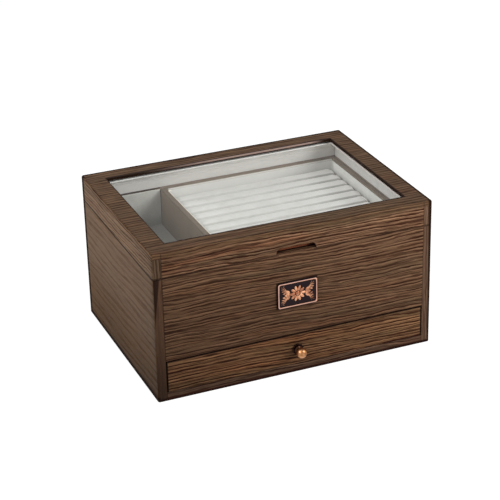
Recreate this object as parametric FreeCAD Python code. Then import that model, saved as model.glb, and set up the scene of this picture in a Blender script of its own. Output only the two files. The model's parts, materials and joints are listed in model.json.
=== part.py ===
import FreeCAD, Part
import os

# Glass-lidded ring box with a drawer. Millimetres, +Z up. The origin is the centre of the
# base board's underside; the drawer front faces -Y and the lid is hinged along +Y.

V = FreeCAD.Vector
X_AXIS, Y_AXIS, Z_AXIS = V(1, 0, 0), V(0, 1, 0), V(0, 0, 1)

# ---- overall size ------------------------------------------------------------------------
BOX_WIDTH = 240.0
BOX_DEPTH = 174.0
BOX_HEIGHT = 128.4
LID_HEIGHT = 21.2           # from the seam up to the top face

# ---- boards ------------------------------------------------------------------------------
WALL = 7.6                  # case and lid panels
BASE_THICKNESS = 7.2
CORNER_ROUND = 1.8          # outer upright corners
TOP_EDGE_ROUND = 1.6        # the lid's top edge
ARRIS = 0.4                 # broken edges along the seams
TOP_BOARD = 4.4             # the lid's window frame
SHELF_THICKNESS = 3.0       # plywood roof of the drawer bay
SHELF_GROOVE = 2.6          # how far the shelf enters the four panels
SHELF_RISE = 2.2            # front panel's lower edge to the shelf's underside
GROOVE_PLAY = 0.1           # all round a board let into a groove
OVERCUT = 1.0               # how far a cutting solid runs past the face that it opens

# ---- window ------------------------------------------------------------------------------
RAIL_WIDTH = 17.0           # window frame, outer edge to window
WINDOW_LIP = 2.4            # wood left above the glass
GLASS_THICKNESS = TOP_BOARD - WINDOW_LIP
GLASS_LAP = 5.0             # glass hidden under the lip on each side
GLASS_PLAY = 0.3
RETAINER_THICKNESS = 1.2    # lined card frame that holds the glass up
RETAINER_SETBACK = 1.2      # its inner edge stays this far outside the window
WINDOW_ROUND = 0.5          # broken edge round the window

# ---- finger notch ------------------------------------------------------------------------
NOTCH_LENGTH = 34.6
NOTCH_HEIGHT = 5.4
NOTCH_DEPTH = 5.2
NOTCH_CORNER = 4.4
NOTCH_COVE = 0.9

# ---- drawer ------------------------------------------------------------------------------
DRAWER_FRONT_HEIGHT = 26.5
DRAWER_PLAY = 0.9           # above the front and beside it
DRAWER_LIFT = 0.3           # drawer's underside above the base board
DRAWER_BACK_PLAY = 1.0
DRAWER_SIDE = 6.0
DRAWER_SIDE_HEIGHT = 23.5
DRAWER_BOTTOM = 2.5
DRAWER_BOTTOM_RISE = 2.5    # side's lower edge to the bottom board
DRAWER_GROOVE = 2.5

# ---- lining and trays --------------------------------------------------------------------
LINING = 1.0                # flannel over thin card
LID_LINING_RISE = 0.9       # bottom edge of the lid's lining above the seam
LOWER_LINING = 3.0          # lined boards that carry the trays
TRAY_FLOOR = 2.6
TRAY_PLAY = 0.3
TRAY_HEIGHT = 35.4
TRAY_BELOW_SEAM = 0.6
SIDE_TRAY_WIDTH = 58.6
SIDE_TRAY_WALL = 1.6
RING_TRAY_END_WALL = 5.0    # front and back walls, lining apart
RING_TRAY_SIDE_WALL = 4.8   # left and right walls, lining apart
RING_LINING = 0.8
RING_LINING_PLAY = 0.1
TRAY_EDGE_ROUND = 0.7

# ---- ring rolls --------------------------------------------------------------------------
ROLL_COUNT = 11
ROLL_HEIGHT = 20.0
ROLL_GAP = 0.3
ROLL_CROWN = 4.8            # rise of a roll's rounded top
ROLL_BELOW_RIM = 6.0        # crown of a roll below the tray's rim

# ---- plaque ------------------------------------------------------------------------------
PLAQUE_WIDTH = 34.5
PLAQUE_HEIGHT = 22.2
PLAQUE_THICKNESS = 1.3
PLAQUE_RIM = 1.3
PLAQUE_RIM_RISE = 0.5
PLAQUE_CORNER = 3.0
PLAQUE_DROP = 35.8          # its centre below the seam

# ---- knob --------------------------------------------------------------------------------
BALL_RADIUS = 4.4
BALL_STAND = 7.8            # ball's centre in front of the drawer front
NECK_RADIUS = 2.1
COLLAR_RADIUS = 3.2
COLLAR_THICKNESS = 0.9
ROSETTE_RADIUS = 4.7
ROSETTE_THICKNESS = 1.2
ROSETTE_BEAD = 0.35
SCREW_RADIUS = 1.5
SCREW_FIT = 0.05            # radial, in the metal
SCREW_CLEARANCE = 0.2       # radial, in the drawer front
SCREW_ENTRY = 3.4           # screw length inside the knob
BORE_RUNOUT = 0.5           # knob's bore deeper than the screw
SCREW_HEAD_RADIUS = 3.0
SCREW_HEAD_HEIGHT = 1.8
SCREW_HEAD_ROUND = 0.6

# ---- stop hinges -------------------------------------------------------------------------
HINGE_SPACING = 130.0       # between the two hinges' middles
HINGE_LENGTH = 24.0
LEAF_THICKNESS = 1.0
LEAF_SETBACK = 1.2          # leaf's front edge behind the wall's inner face
LEAF_PARTING = 0.05         # each leaf's face below or above the seam
MORTISE_PLAY = 0.1
KNUCKLE_RADIUS = 2.0
KNUCKLE_STANDOFF = 0.25     # barrel clear of the back face
KNUCKLE_GAP = 0.15
MIDDLE_KNUCKLE = 8.0
PIN_RADIUS = 0.95
PIN_FIT = 0.05
PIN_HEAD_RADIUS = 1.5
PIN_HEAD_THICKNESS = 0.6
STOP_LENGTH = 4.6           # from the pin's axis to the stop's outer edge
STOP_THICKNESS = 1.0
OPEN_ANGLE = 95.0
STOP_PLAY = 0.04
LEAF_SCREW_RADIUS = 0.9
LEAF_SCREW_LENGTH = 8.0
LEAF_SCREW_HEAD = 1.7       # head radius, countersunk flush in the leaf
LEAF_SCREW_SPACING = 14.0

# ---- derived -----------------------------------------------------------------------------
HALF_W, HALF_D = BOX_WIDTH / 2, BOX_DEPTH / 2
SEAM_Z = BOX_HEIGHT - LID_HEIGHT
BOARD_Z = BOX_HEIGHT - TOP_BOARD                     # underside of the window frame
INNER_X, INNER_Y = HALF_W - WALL, HALF_D - WALL      # faces of the panels inside the box
BAY_TOP = BASE_THICKNESS + DRAWER_LIFT + DRAWER_FRONT_HEIGHT + DRAWER_PLAY
SHELF_Z = BAY_TOP + SHELF_RISE
SHELF_TOP = SHELF_Z + SHELF_THICKNESS
TRAY_TOP = SEAM_Z - TRAY_BELOW_SEAM
TRAY_Z = TRAY_TOP - TRAY_HEIGHT                      # underside of both trays
SIDE_TRAY_X = -INNER_X + TRAY_PLAY
RING_TRAY_X = SIDE_TRAY_X + SIDE_TRAY_WIDTH + TRAY_PLAY
TRAY_END_X = INNER_X - TRAY_PLAY
TRAY_END_Y = INNER_Y - TRAY_PLAY
WINDOW_X, WINDOW_Y = HALF_W - RAIL_WIDTH, HALF_D - RAIL_WIDTH
PIN_Y = HALF_D + KNUCKLE_STANDOFF + KNUCKLE_RADIUS
DRAWER_Z = BASE_THICKNESS + DRAWER_LIFT


# ---- helpers -----------------------------------------------------------------------------
def block(x0, x1, y0, y1, z0, z1):
    """A board between two corners."""
    return Part.makeBox(x1 - x0, y1 - y0, z1 - z0, V(x0, y0, z0))


def rounded(shape, radius, chosen):
    """Round the straight edges whose middle point and direction satisfy chosen(middle, along)."""
    edges = []
    for edge in shape.Edges:
        if isinstance(edge.Curve, Part.Line):
            first, last = edge.Vertexes[0].Point, edge.Vertexes[-1].Point
            along = (last - first).normalize()
            if chosen((first + last) * 0.5, V(abs(along.x), abs(along.y), abs(along.z))):
                edges.append(edge)
    return shape.makeFillet(radius, edges) if edges else shape


def near(a, b):
    return abs(a - b) < 1e-4


def soft_plate(width, height, corner, y_front, thickness, z_centre):
    """An upright plate facing -Y with four rounded corners."""
    plate = block(-width / 2, width / 2, y_front, y_front + thickness,
                  z_centre - height / 2, z_centre + height / 2)
    return rounded(plate, corner, lambda middle, along: along.y > 0.9)


def turned(profile, y_face, z_centre):
    """Revolve (radius, distance in front of y_face) points about the axis along -Y."""
    path = [V(r, y_face - d, z_centre) for r, d in profile]
    face = Part.Face(Part.makePolygon(path + path[:1]))
    return face.revolve(V(0, y_face, z_centre), Y_AXIS, 360)


# ---- case --------------------------------------------------------------------------------
def base_board():
    """Lies between the side panels; its front and back edges show under the drawer and back."""
    board = block(-INNER_X, INNER_X, -HALF_D, HALF_D, 0, BASE_THICKNESS)
    return rounded(board, ARRIS, lambda middle, along: along.x > 0.9)


def shelf_groove():
    """The space that the shelf's edge needs in the four panels round it."""
    reach_x, reach_y = INNER_X + SHELF_GROOVE, INNER_Y + SHELF_GROOVE
    return block(-reach_x, reach_x, -reach_y, reach_y,
                 SHELF_Z - GROOVE_PLAY, SHELF_TOP + GROOVE_PLAY)


def case_side(side):
    """A side panel reaches the floor; its front and back edges show as upright strips."""
    outer, inner = side * HALF_W, side * INNER_X
    panel = block(min(outer, inner), max(outer, inner), -HALF_D, HALF_D, 0, SEAM_Z)
    panel = rounded(panel, CORNER_ROUND,
                    lambda middle, along: along.z > 0.9 and near(middle.x, outer))
    panel = panel.cut(shelf_groove())
    return rounded(panel, ARRIS, lambda middle, along: near(middle.x, outer) and along.y > 0.9)


def front_panel():
    panel = block(-INNER_X, INNER_X, -HALF_D, -INNER_Y, BAY_TOP, SEAM_Z).cut(shelf_groove())
    return rounded(panel, ARRIS, lambda middle, along: near(middle.y, -HALF_D) and along.x > 0.9)


def back_panel():
    panel = block(-INNER_X, INNER_X, INNER_Y, HALF_D, BASE_THICKNESS, SEAM_Z)
    panel = rounded(panel, ARRIS, lambda middle, along: near(middle.y, HALF_D) and along.x > 0.9)
    panel = panel.cut(shelf_groove())
    for centre in hinge_centres():
        panel = panel.cut(leaf_mortise(centre, -1)).cut(leaf_pilots(centre, -1))
    return panel


def drawer_bay_shelf():
    reach_x = INNER_X + SHELF_GROOVE - GROOVE_PLAY
    reach_y = INNER_Y + SHELF_GROOVE - GROOVE_PLAY
    return block(-reach_x, reach_x, -reach_y, reach_y, SHELF_Z, SHELF_TOP)


def shelf_lining():
    inside_x, inside_y = INNER_X - LOWER_LINING, INNER_Y - LOWER_LINING
    return block(-inside_x + GROOVE_PLAY, inside_x - GROOVE_PLAY,
                 -inside_y + GROOVE_PLAY, inside_y - GROOVE_PLAY, SHELF_TOP, SHELF_TOP + LINING)


def lower_lining_end(side):
    """Front or back lining board of the space under the trays; its top edge carries them."""
    outer, inner = side * INNER_Y, side * (INNER_Y - LOWER_LINING)
    return block(-INNER_X + GROOVE_PLAY, INNER_X - GROOVE_PLAY, min(outer, inner),
                 max(outer, inner), SHELF_TOP, TRAY_Z)


def lower_lining_side(side):
    outer, inner = side * INNER_X, side * (INNER_X - LOWER_LINING)
    reach = INNER_Y - LOWER_LINING - GROOVE_PLAY
    return block(min(outer, inner), max(outer, inner), -reach, reach, SHELF_TOP, TRAY_Z)


# ---- trays -------------------------------------------------------------------------------
def open_tray(x0, x1, hollow_x0, hollow_x1, end_wall):
    """A tray with a floor and walls, its rim's long edges softened by the cloth over them."""
    tray = block(x0, x1, -TRAY_END_Y, TRAY_END_Y, TRAY_Z, TRAY_TOP)
    hollow = block(hollow_x0, hollow_x1, -TRAY_END_Y + end_wall, TRAY_END_Y - end_wall,
                   TRAY_Z + TRAY_FLOOR, TRAY_TOP + OVERCUT)
    open_end = x1 if hollow_x1 > x1 else None
    return rounded(tray.cut(hollow), TRAY_EDGE_ROUND, lambda middle, along:
                   near(middle.z, TRAY_TOP) and not (open_end and near(middle.x, open_end)))


def side_tray():
    """Three walls only: the ring tray's left wall closes the fourth side."""
    end_x = SIDE_TRAY_X + SIDE_TRAY_WIDTH
    return open_tray(SIDE_TRAY_X, end_x, SIDE_TRAY_X + SIDE_TRAY_WALL, end_x + OVERCUT,
                     SIDE_TRAY_WALL)


def ring_tray():
    return open_tray(RING_TRAY_X, TRAY_END_X, RING_TRAY_X + RING_TRAY_SIDE_WALL,
                     TRAY_END_X - RING_TRAY_SIDE_WALL, RING_TRAY_END_WALL)


def ring_well():
    """Inner faces of the ring tray: x0, x1, y0, y1."""
    return (RING_TRAY_X + RING_TRAY_SIDE_WALL, TRAY_END_X - RING_TRAY_SIDE_WALL,
            -TRAY_END_Y + RING_TRAY_END_WALL, TRAY_END_Y - RING_TRAY_END_WALL)


def ring_tray_lining():
    """A thin lined band that stands inside the ring tray's walls."""
    x0, x1, y0, y1 = ring_well()
    play, inset = RING_LINING_PLAY, RING_LINING_PLAY + RING_LINING
    band = block(x0 + play, x1 - play, y0 + play, y1 - play, TRAY_Z + TRAY_FLOOR,
                 TRAY_TOP - TRAY_EDGE_ROUND)
    return band.cut(block(x0 + inset, x1 - inset, y0 + inset, y1 - inset,
                          TRAY_Z + TRAY_FLOOR - OVERCUT, TRAY_TOP + OVERCUT))


def roll_space():
    """The space inside the ring tray's lining: x0, x1, y0, y1."""
    x0, x1, y0, y1 = ring_well()
    inset = RING_LINING_PLAY + RING_LINING + ROLL_GAP
    return x0 + inset, x1 - inset, y0 + inset, y1 - inset


def roll_foot():
    return TRAY_TOP - ROLL_BELOW_RIM - ROLL_HEIGHT


def ring_pad_base():
    x0, x1, y0, y1 = roll_space()
    return block(x0, x1, y0, y1, TRAY_Z + TRAY_FLOOR, roll_foot())


def ring_roll(index):
    """A foam strip with a rounded crown; a ring's band is pushed between two of them."""
    x0, x1, y0, y1 = roll_space()
    pitch = (y1 - y0 + ROLL_GAP) / ROLL_COUNT
    near_y = y0 + index * pitch
    far_y = near_y + pitch - ROLL_GAP
    foot, crown = roll_foot(), roll_foot() + ROLL_HEIGHT
    spring, middle_y = crown - ROLL_CROWN, (near_y + far_y) / 2
    sides = [Part.LineSegment(V(x0, near_y, spring), V(x0, near_y, foot)),
             Part.LineSegment(V(x0, near_y, foot), V(x0, far_y, foot)),
             Part.LineSegment(V(x0, far_y, foot), V(x0, far_y, spring)),
             Part.Arc(V(x0, far_y, spring), V(x0, middle_y, crown), V(x0, near_y, spring))]
    section = Part.Wire([side.toShape() for side in sides])
    return Part.Face(section).extrude(V(x1 - x0, 0, 0))


# ---- lid ---------------------------------------------------------------------------------
def lid_top_frame():
    """The lid's top board: a window with a lip above and a rebate for the glass below."""
    board = block(-HALF_W, HALF_W, -HALF_D, HALF_D, BOARD_Z, BOX_HEIGHT)
    board = rounded(board, CORNER_ROUND, lambda middle, along: along.z > 0.9)
    top_rim = [e for e in board.Edges
               if near(e.BoundBox.ZMin, BOX_HEIGHT) and near(e.BoundBox.ZMax, BOX_HEIGHT)]
    board = board.makeFillet(TOP_EDGE_ROUND, top_rim)
    window = block(-WINDOW_X, WINDOW_X, -WINDOW_Y, WINDOW_Y, BOARD_Z - OVERCUT,
                   BOX_HEIGHT + OVERCUT)
    reach_x, reach_y = WINDOW_X + GLASS_LAP, WINDOW_Y + GLASS_LAP
    rebate = block(-reach_x, reach_x, -reach_y, reach_y, BOARD_Z - OVERCUT,
                   BOARD_Z + GLASS_THICKNESS)
    board = board.cut(window).cut(rebate)
    return rounded(board, WINDOW_ROUND, lambda middle, along: near(middle.z, BOX_HEIGHT)
                   and abs(middle.x) < WINDOW_X + 1e-3 and abs(middle.y) < WINDOW_Y + 1e-3)


def glass_pane():
    reach_x = WINDOW_X + GLASS_LAP - GLASS_PLAY
    reach_y = WINDOW_Y + GLASS_LAP - GLASS_PLAY
    return block(-reach_x, reach_x, -reach_y, reach_y, BOARD_Z, BOARD_Z + GLASS_THICKNESS)


def glass_retainer():
    """A lined card frame glued under the window frame, hidden from above by its rails."""
    inside_x, inside_y = WINDOW_X + RETAINER_SETBACK, WINDOW_Y + RETAINER_SETBACK
    card = block(-INNER_X + GROOVE_PLAY, INNER_X - GROOVE_PLAY, -INNER_Y + GROOVE_PLAY,
                 INNER_Y - GROOVE_PLAY, BOARD_Z - RETAINER_THICKNESS, BOARD_Z)
    return card.cut(block(-inside_x, inside_x, -inside_y, inside_y,
                          BOARD_Z - RETAINER_THICKNESS - OVERCUT, BOARD_Z + OVERCUT))


def lid_side(side):
    outer, inner = side * HALF_W, side * INNER_X
    rail = block(min(outer, inner), max(outer, inner), -HALF_D, HALF_D, SEAM_Z, BOARD_Z)
    rail = rounded(rail, CORNER_ROUND,
                   lambda middle, along: along.z > 0.9 and near(middle.x, outer))
    return rounded(rail, ARRIS, lambda middle, along: near(middle.x, outer)
                   and near(middle.z, SEAM_Z) and along.y > 0.9)


def finger_notch():
    """A routed finger pull: a half stadium in front view, with a coved back."""
    half = NOTCH_LENGTH / 2
    cutter = block(-half, half, -HALF_D - OVERCUT, -HALF_D + NOTCH_DEPTH,
                   SEAM_Z - NOTCH_HEIGHT, SEAM_Z + NOTCH_HEIGHT)
    cutter = rounded(cutter, NOTCH_CORNER, lambda middle, along: along.y > 0.9)
    back_rim = [e for e in cutter.Edges if near(e.BoundBox.YMin, -HALF_D + NOTCH_DEPTH)]
    return cutter.makeFillet(NOTCH_COVE, back_rim)


def lid_front_rail():
    rail = block(-INNER_X, INNER_X, -HALF_D, -INNER_Y, SEAM_Z, BOARD_Z)
    rail = rounded(rail, ARRIS, lambda middle, along: near(middle.y, -HALF_D)
                   and near(middle.z, SEAM_Z) and along.x > 0.9)
    return rail.cut(finger_notch())


def lid_back_rail():
    rail = block(-INNER_X, INNER_X, INNER_Y, HALF_D, SEAM_Z, BOARD_Z)
    rail = rounded(rail, ARRIS, lambda middle, along: near(middle.y, HALF_D)
                   and near(middle.z, SEAM_Z) and along.x > 0.9)
    for centre in hinge_centres():
        rail = rail.cut(leaf_mortise(centre, 1)).cut(leaf_pilots(centre, 1))
    return rail


def lid_lining_end(side):
    outer, inner = side * INNER_Y, side * (INNER_Y - LINING)
    return block(-INNER_X + GROOVE_PLAY, INNER_X - GROOVE_PLAY, min(outer, inner),
                 max(outer, inner), SEAM_Z + LID_LINING_RISE, BOARD_Z - RETAINER_THICKNESS)


def lid_lining_side(side):
    outer, inner = side * INNER_X, side * (INNER_X - LINING)
    reach = INNER_Y - LINING - GROOVE_PLAY
    return block(min(outer, inner), max(outer, inner), -reach, reach,
                 SEAM_Z + LID_LINING_RISE, BOARD_Z - RETAINER_THICKNESS)


# ---- hinges ------------------------------------------------------------------------------
# "level" is -1 for the leaf let into the case and +1 for the leaf let into the lid.
def hinge_centres():
    return (-HINGE_SPACING / 2, HINGE_SPACING / 2)


def leaf_edge():
    """Front edge of a leaf."""
    return INNER_Y + LEAF_SETBACK


def leaf_mortise(centre, level):
    depth = LEAF_THICKNESS + LEAF_PARTING + MORTISE_PLAY
    half = HINGE_LENGTH / 2 + MORTISE_PLAY
    low, high = sorted((SEAM_Z - level * OVERCUT, SEAM_Z + level * depth))
    return block(centre - half, centre + half, leaf_edge() - MORTISE_PLAY, HALF_D + OVERCUT,
                 low, high)


def leaf_screw_places(centre):
    middle_y = (leaf_edge() + HALF_D) / 2
    return [(centre + side * LEAF_SCREW_SPACING / 2, middle_y) for side in (-1, 1)]


def leaf_screw(x, y, level, extra):
    """A countersunk screw (or, with extra, the hole for it) let in from the seam."""
    seat = SEAM_Z + level * LEAF_PARTING
    cone = Part.makeCone(LEAF_SCREW_HEAD + extra, LEAF_SCREW_RADIUS + extra, LEAF_THICKNESS,
                         V(x, y, seat), V(0, 0, level))
    shank = Part.makeCylinder(LEAF_SCREW_RADIUS + extra, LEAF_SCREW_LENGTH + extra,
                              V(x, y, seat), V(0, 0, level))
    return cone.fuse(shank)


def leaf_pilots(centre, level):
    holes = [leaf_screw(x, y, level, SCREW_FIT) for x, y in leaf_screw_places(centre)]
    return holes[0].fuse(holes[1:])


def knuckle_spans(level):
    """X spans of the knuckles of one leaf, measured from the hinge's middle."""
    half, middle = HINGE_LENGTH / 2, MIDDLE_KNUCKLE / 2
    if level > 0:
        return [(-middle, middle)]
    return [(-half, -middle - KNUCKLE_GAP), (middle + KNUCKLE_GAP, half)]


def hinge_leaf(centre, level):
    """A flat leaf, its knuckles, and the bevelled tail that meets the other leaf's when open."""
    low, high = sorted((SEAM_Z + level * LEAF_PARTING,
                        SEAM_Z + level * (LEAF_PARTING + LEAF_THICKNESS)))
    half = HINGE_LENGTH / 2
    clear = KNUCKLE_RADIUS + KNUCKLE_STANDOFF
    leaf = block(centre - half, centre + half, leaf_edge(), PIN_Y - clear, low, high)
    for start, end in knuckle_spans(level):
        barrel = Part.makeCylinder(KNUCKLE_RADIUS, end - start,
                                   V(centre + start, PIN_Y, SEAM_Z), X_AXIS)
        web = block(centre + start, centre + end, PIN_Y - clear - OVERCUT, PIN_Y, low, high)
        leaf = leaf.fuse(web).fuse(barrel).fuse(stop_tail(centre, start, end, level))
    bore = Part.makeCylinder(PIN_RADIUS + PIN_FIT, HINGE_LENGTH + 2 * OVERCUT,
                             V(centre - half - OVERCUT, PIN_Y, SEAM_Z), X_AXIS)
    leaf = leaf.cut(bore).cut(leaf_pilots(centre, level))
    return leaf.removeSplitter()


def stop_tail(centre, start, end, level):
    """A fin behind the barrel: its root is on one knuckle, its outer strip runs the hinge's length.

    The two leaves' fins meet face to face when the lid stands open."""
    half = HINGE_LENGTH / 2
    face, back = STOP_PLAY / 2, STOP_PLAY / 2 + STOP_THICKNESS
    root = block(start, end, 0, STOP_LENGTH, face, back)
    strip = block(-half, half, KNUCKLE_RADIUS + KNUCKLE_STANDOFF, STOP_LENGTH, face, back)
    fin = root.fuse(strip)
    if level < 0:
        fin = fin.mirror(V(0, 0, 0), Z_AXIS)
    fin.rotate(V(0, 0, 0), X_AXIS, level * OPEN_ANGLE / 2)
    fin.translate(V(centre, PIN_Y, SEAM_Z))
    return fin


def hinge_pin(centre):
    """A pin with two flat heads."""
    half = HINGE_LENGTH / 2
    pin = Part.makeCylinder(PIN_RADIUS, HINGE_LENGTH, V(centre - half, PIN_Y, SEAM_Z), X_AXIS)
    for x in (centre - half - PIN_HEAD_THICKNESS, centre + half):
        pin = pin.fuse(Part.makeCylinder(PIN_HEAD_RADIUS, PIN_HEAD_THICKNESS,
                                         V(x, PIN_Y, SEAM_Z), X_AXIS))
    return pin.removeSplitter()


def hinge_screws(level):
    """The four screws of both leaves at one level, as separate solids."""
    return Part.makeCompound([leaf_screw(x, y, level, 0) for centre in hinge_centres()
                              for x, y in leaf_screw_places(centre)])


# ---- drawer ------------------------------------------------------------------------------
def drawer_half_width():
    return INNER_X - DRAWER_PLAY


def drawer_back_y():
    return INNER_Y - DRAWER_BACK_PLAY


def drawer_bottom_z():
    return DRAWER_Z + DRAWER_BOTTOM_RISE


def drawer_bottom_groove():
    """The space for the edge of the drawer's bottom board, open at the back."""
    reach = drawer_half_width() - DRAWER_SIDE + DRAWER_GROOVE
    return block(-reach, reach, -INNER_Y - DRAWER_GROOVE, drawer_back_y() + OVERCUT,
                 drawer_bottom_z() - GROOVE_PLAY, drawer_bottom_z() + DRAWER_BOTTOM + GROOVE_PLAY)


def drawer_front():
    half = drawer_half_width()
    front = block(-half, half, -HALF_D, -INNER_Y, DRAWER_Z, DRAWER_Z + DRAWER_FRONT_HEIGHT)
    front = rounded(front, ARRIS, lambda middle, along: near(middle.y, -HALF_D))
    bore = Part.makeCylinder(SCREW_RADIUS + SCREW_CLEARANCE, WALL + 2 * OVERCUT,
                             V(0, -HALF_D - OVERCUT, knob_z()), Y_AXIS)
    return front.cut(drawer_bottom_groove()).cut(bore)


def drawer_side(side):
    outer = side * drawer_half_width()
    inner = side * (drawer_half_width() - DRAWER_SIDE)
    board = block(min(outer, inner), max(outer, inner), -INNER_Y, drawer_back_y(),
                  DRAWER_Z, DRAWER_Z + DRAWER_SIDE_HEIGHT)
    return board.cut(drawer_bottom_groove())


def drawer_back():
    """Stands on the bottom board, between the sides."""
    half = drawer_half_width() - DRAWER_SIDE
    return block(-half, half, drawer_back_y() - DRAWER_SIDE, drawer_back_y(),
                 drawer_bottom_z() + DRAWER_BOTTOM, DRAWER_Z + DRAWER_SIDE_HEIGHT)


def drawer_bottom():
    reach = drawer_half_width() - DRAWER_SIDE + DRAWER_GROOVE - GROOVE_PLAY
    return block(-reach, reach, -INNER_Y - DRAWER_GROOVE + GROOVE_PLAY, drawer_back_y(),
                 drawer_bottom_z(), drawer_bottom_z() + DRAWER_BOTTOM)


def drawer_lining():
    half = drawer_half_width() - DRAWER_SIDE - GROOVE_PLAY
    floor = drawer_bottom_z() + DRAWER_BOTTOM
    return block(-half, half, -INNER_Y + GROOVE_PLAY, drawer_back_y() - DRAWER_SIDE - GROOVE_PLAY,
                 floor, floor + LINING)


def knob_z():
    return DRAWER_Z + DRAWER_FRONT_HEIGHT / 2


def knob():
    """Turned in one piece: collar, waisted neck and ball, with a blind hole for the screw."""
    collar = turned([(0, ROSETTE_THICKNESS), (COLLAR_RADIUS, ROSETTE_THICKNESS),
                     (COLLAR_RADIUS, ROSETTE_THICKNESS + COLLAR_THICKNESS),
                     (NECK_RADIUS, ROSETTE_THICKNESS + 2 * COLLAR_THICKNESS),
                     (NECK_RADIUS, BALL_STAND), (0, BALL_STAND)], -HALF_D, knob_z())
    ball = Part.makeSphere(BALL_RADIUS, V(0, -HALF_D - BALL_STAND, knob_z()))
    bore = Part.makeCylinder(SCREW_RADIUS + SCREW_FIT, SCREW_ENTRY + BORE_RUNOUT,
                             V(0, -HALF_D - ROSETTE_THICKNESS, knob_z()), V(0, -1, 0))
    return collar.fuse(ball).cut(bore).removeSplitter()


def knob_rosette():
    """A thin turned plate with a raised bead round its rim."""
    bead = ROSETTE_BEAD
    hole = SCREW_RADIUS + SCREW_CLEARANCE
    return turned([(hole, 0), (ROSETTE_RADIUS, 0), (ROSETTE_RADIUS, ROSETTE_THICKNESS - bead),
                   (ROSETTE_RADIUS - bead, ROSETTE_THICKNESS),
                   (ROSETTE_RADIUS - 2 * bead, ROSETTE_THICKNESS),
                   (ROSETTE_RADIUS - 3 * bead, ROSETTE_THICKNESS - bead),
                   (COLLAR_RADIUS, ROSETTE_THICKNESS - bead), (COLLAR_RADIUS, ROSETTE_THICKNESS),
                   (hole, ROSETTE_THICKNESS)], -HALF_D, knob_z())


def knob_screw():
    """A pan-head screw driven from inside the drawer."""
    length = WALL + ROSETTE_THICKNESS + SCREW_ENTRY
    shank = Part.makeCylinder(SCREW_RADIUS, length, V(0, -INNER_Y, knob_z()), V(0, -1, 0))
    head = Part.makeCylinder(SCREW_HEAD_RADIUS, SCREW_HEAD_HEIGHT, V(0, -INNER_Y, knob_z()), Y_AXIS)
    far_rim = [e for e in head.Edges if near(e.BoundBox.YMin, -INNER_Y + SCREW_HEAD_HEIGHT)]
    return head.makeFillet(SCREW_HEAD_ROUND, far_rim).fuse(shank)


# ---- plaque ------------------------------------------------------------------------------
def plaque():
    """A small cast plate with a raised rim, glued to the front panel."""
    z = SEAM_Z - PLAQUE_DROP
    total = PLAQUE_THICKNESS + PLAQUE_RIM_RISE
    plate = soft_plate(PLAQUE_WIDTH, PLAQUE_HEIGHT, PLAQUE_CORNER, -HALF_D - total, total, z)
    field = soft_plate(PLAQUE_WIDTH - 2 * PLAQUE_RIM, PLAQUE_HEIGHT - 2 * PLAQUE_RIM,
                       PLAQUE_CORNER - PLAQUE_RIM, -HALF_D - total - OVERCUT,
                       OVERCUT + PLAQUE_RIM_RISE, z)
    return plate.cut(field)


# ---- export ------------------------------------------------------------------------------
def build_nodes():
    nodes = {
        "base_board": base_board(),
        "left_side_panel": case_side(-1),
        "right_side_panel": case_side(1),
        "front_panel": front_panel(),
        "back_panel": back_panel(),
        "drawer_bay_shelf": drawer_bay_shelf(),
        "shelf_lining": shelf_lining(),
        "lower_lining_front": lower_lining_end(-1),
        "lower_lining_back": lower_lining_end(1),
        "lower_lining_left": lower_lining_side(-1),
        "lower_lining_right": lower_lining_side(1),
        "side_tray": side_tray(),
        "ring_tray": ring_tray(),
        "ring_tray_lining": ring_tray_lining(),
        "ring_pad_base": ring_pad_base(),
        "plaque": plaque(),
        "lid_top_frame": lid_top_frame(),
        "glass_pane": glass_pane(),
        "glass_retainer": glass_retainer(),
        "lid_left_rail": lid_side(-1),
        "lid_right_rail": lid_side(1),
        "lid_front_rail": lid_front_rail(),
        "lid_back_rail": lid_back_rail(),
        "lid_lining_front": lid_lining_end(-1),
        "lid_lining_back": lid_lining_end(1),
        "lid_lining_left": lid_lining_side(-1),
        "lid_lining_right": lid_lining_side(1),
        "case_hinge_screws": hinge_screws(-1),
        "lid_hinge_screws": hinge_screws(1),
        "drawer_front": drawer_front(),
        "drawer_left_side": drawer_side(-1),
        "drawer_right_side": drawer_side(1),
        "drawer_back": drawer_back(),
        "drawer_bottom": drawer_bottom(),
        "drawer_lining": drawer_lining(),
        "drawer_knob": knob(),
        "knob_rosette": knob_rosette(),
        "knob_screw": knob_screw(),
    }
    for index in range(ROLL_COUNT):
        nodes["ring_roll_%02d" % (index + 1)] = ring_roll(index)
    for name, centre in zip(("left", "right"), hinge_centres()):
        nodes["case_hinge_leaf_" + name] = hinge_leaf(centre, -1)
        nodes["lid_hinge_leaf_" + name] = hinge_leaf(centre, 1)
        nodes["hinge_pin_" + name] = hinge_pin(centre)
    return nodes


os.makedirs("parts", exist_ok=True)
for name, shape in build_nodes().items():
    shape.exportStep("parts/" + name + ".step")
    print("%-22s %9.1f mm3, %d solid(s)" % (name, shape.Volume, len(shape.Solids)))
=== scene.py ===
# %% [markdown]
# # A glass-lidded ring box with a drawer
# The box comes from CAD at its real size and never changes here. This lesson dresses it: dark
# oak veneer, flannel, foam rolls under cloth, glass, copper and brass. Every length is in
# metres in the CAD's own frame, so whatever is made lands where the maker's drawing says.

# %% Load the fixed frame
import json
from math import cos, pi, radians, sin

import bmesh
import bpy
from mathutils import Matrix, Vector, noise


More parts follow.
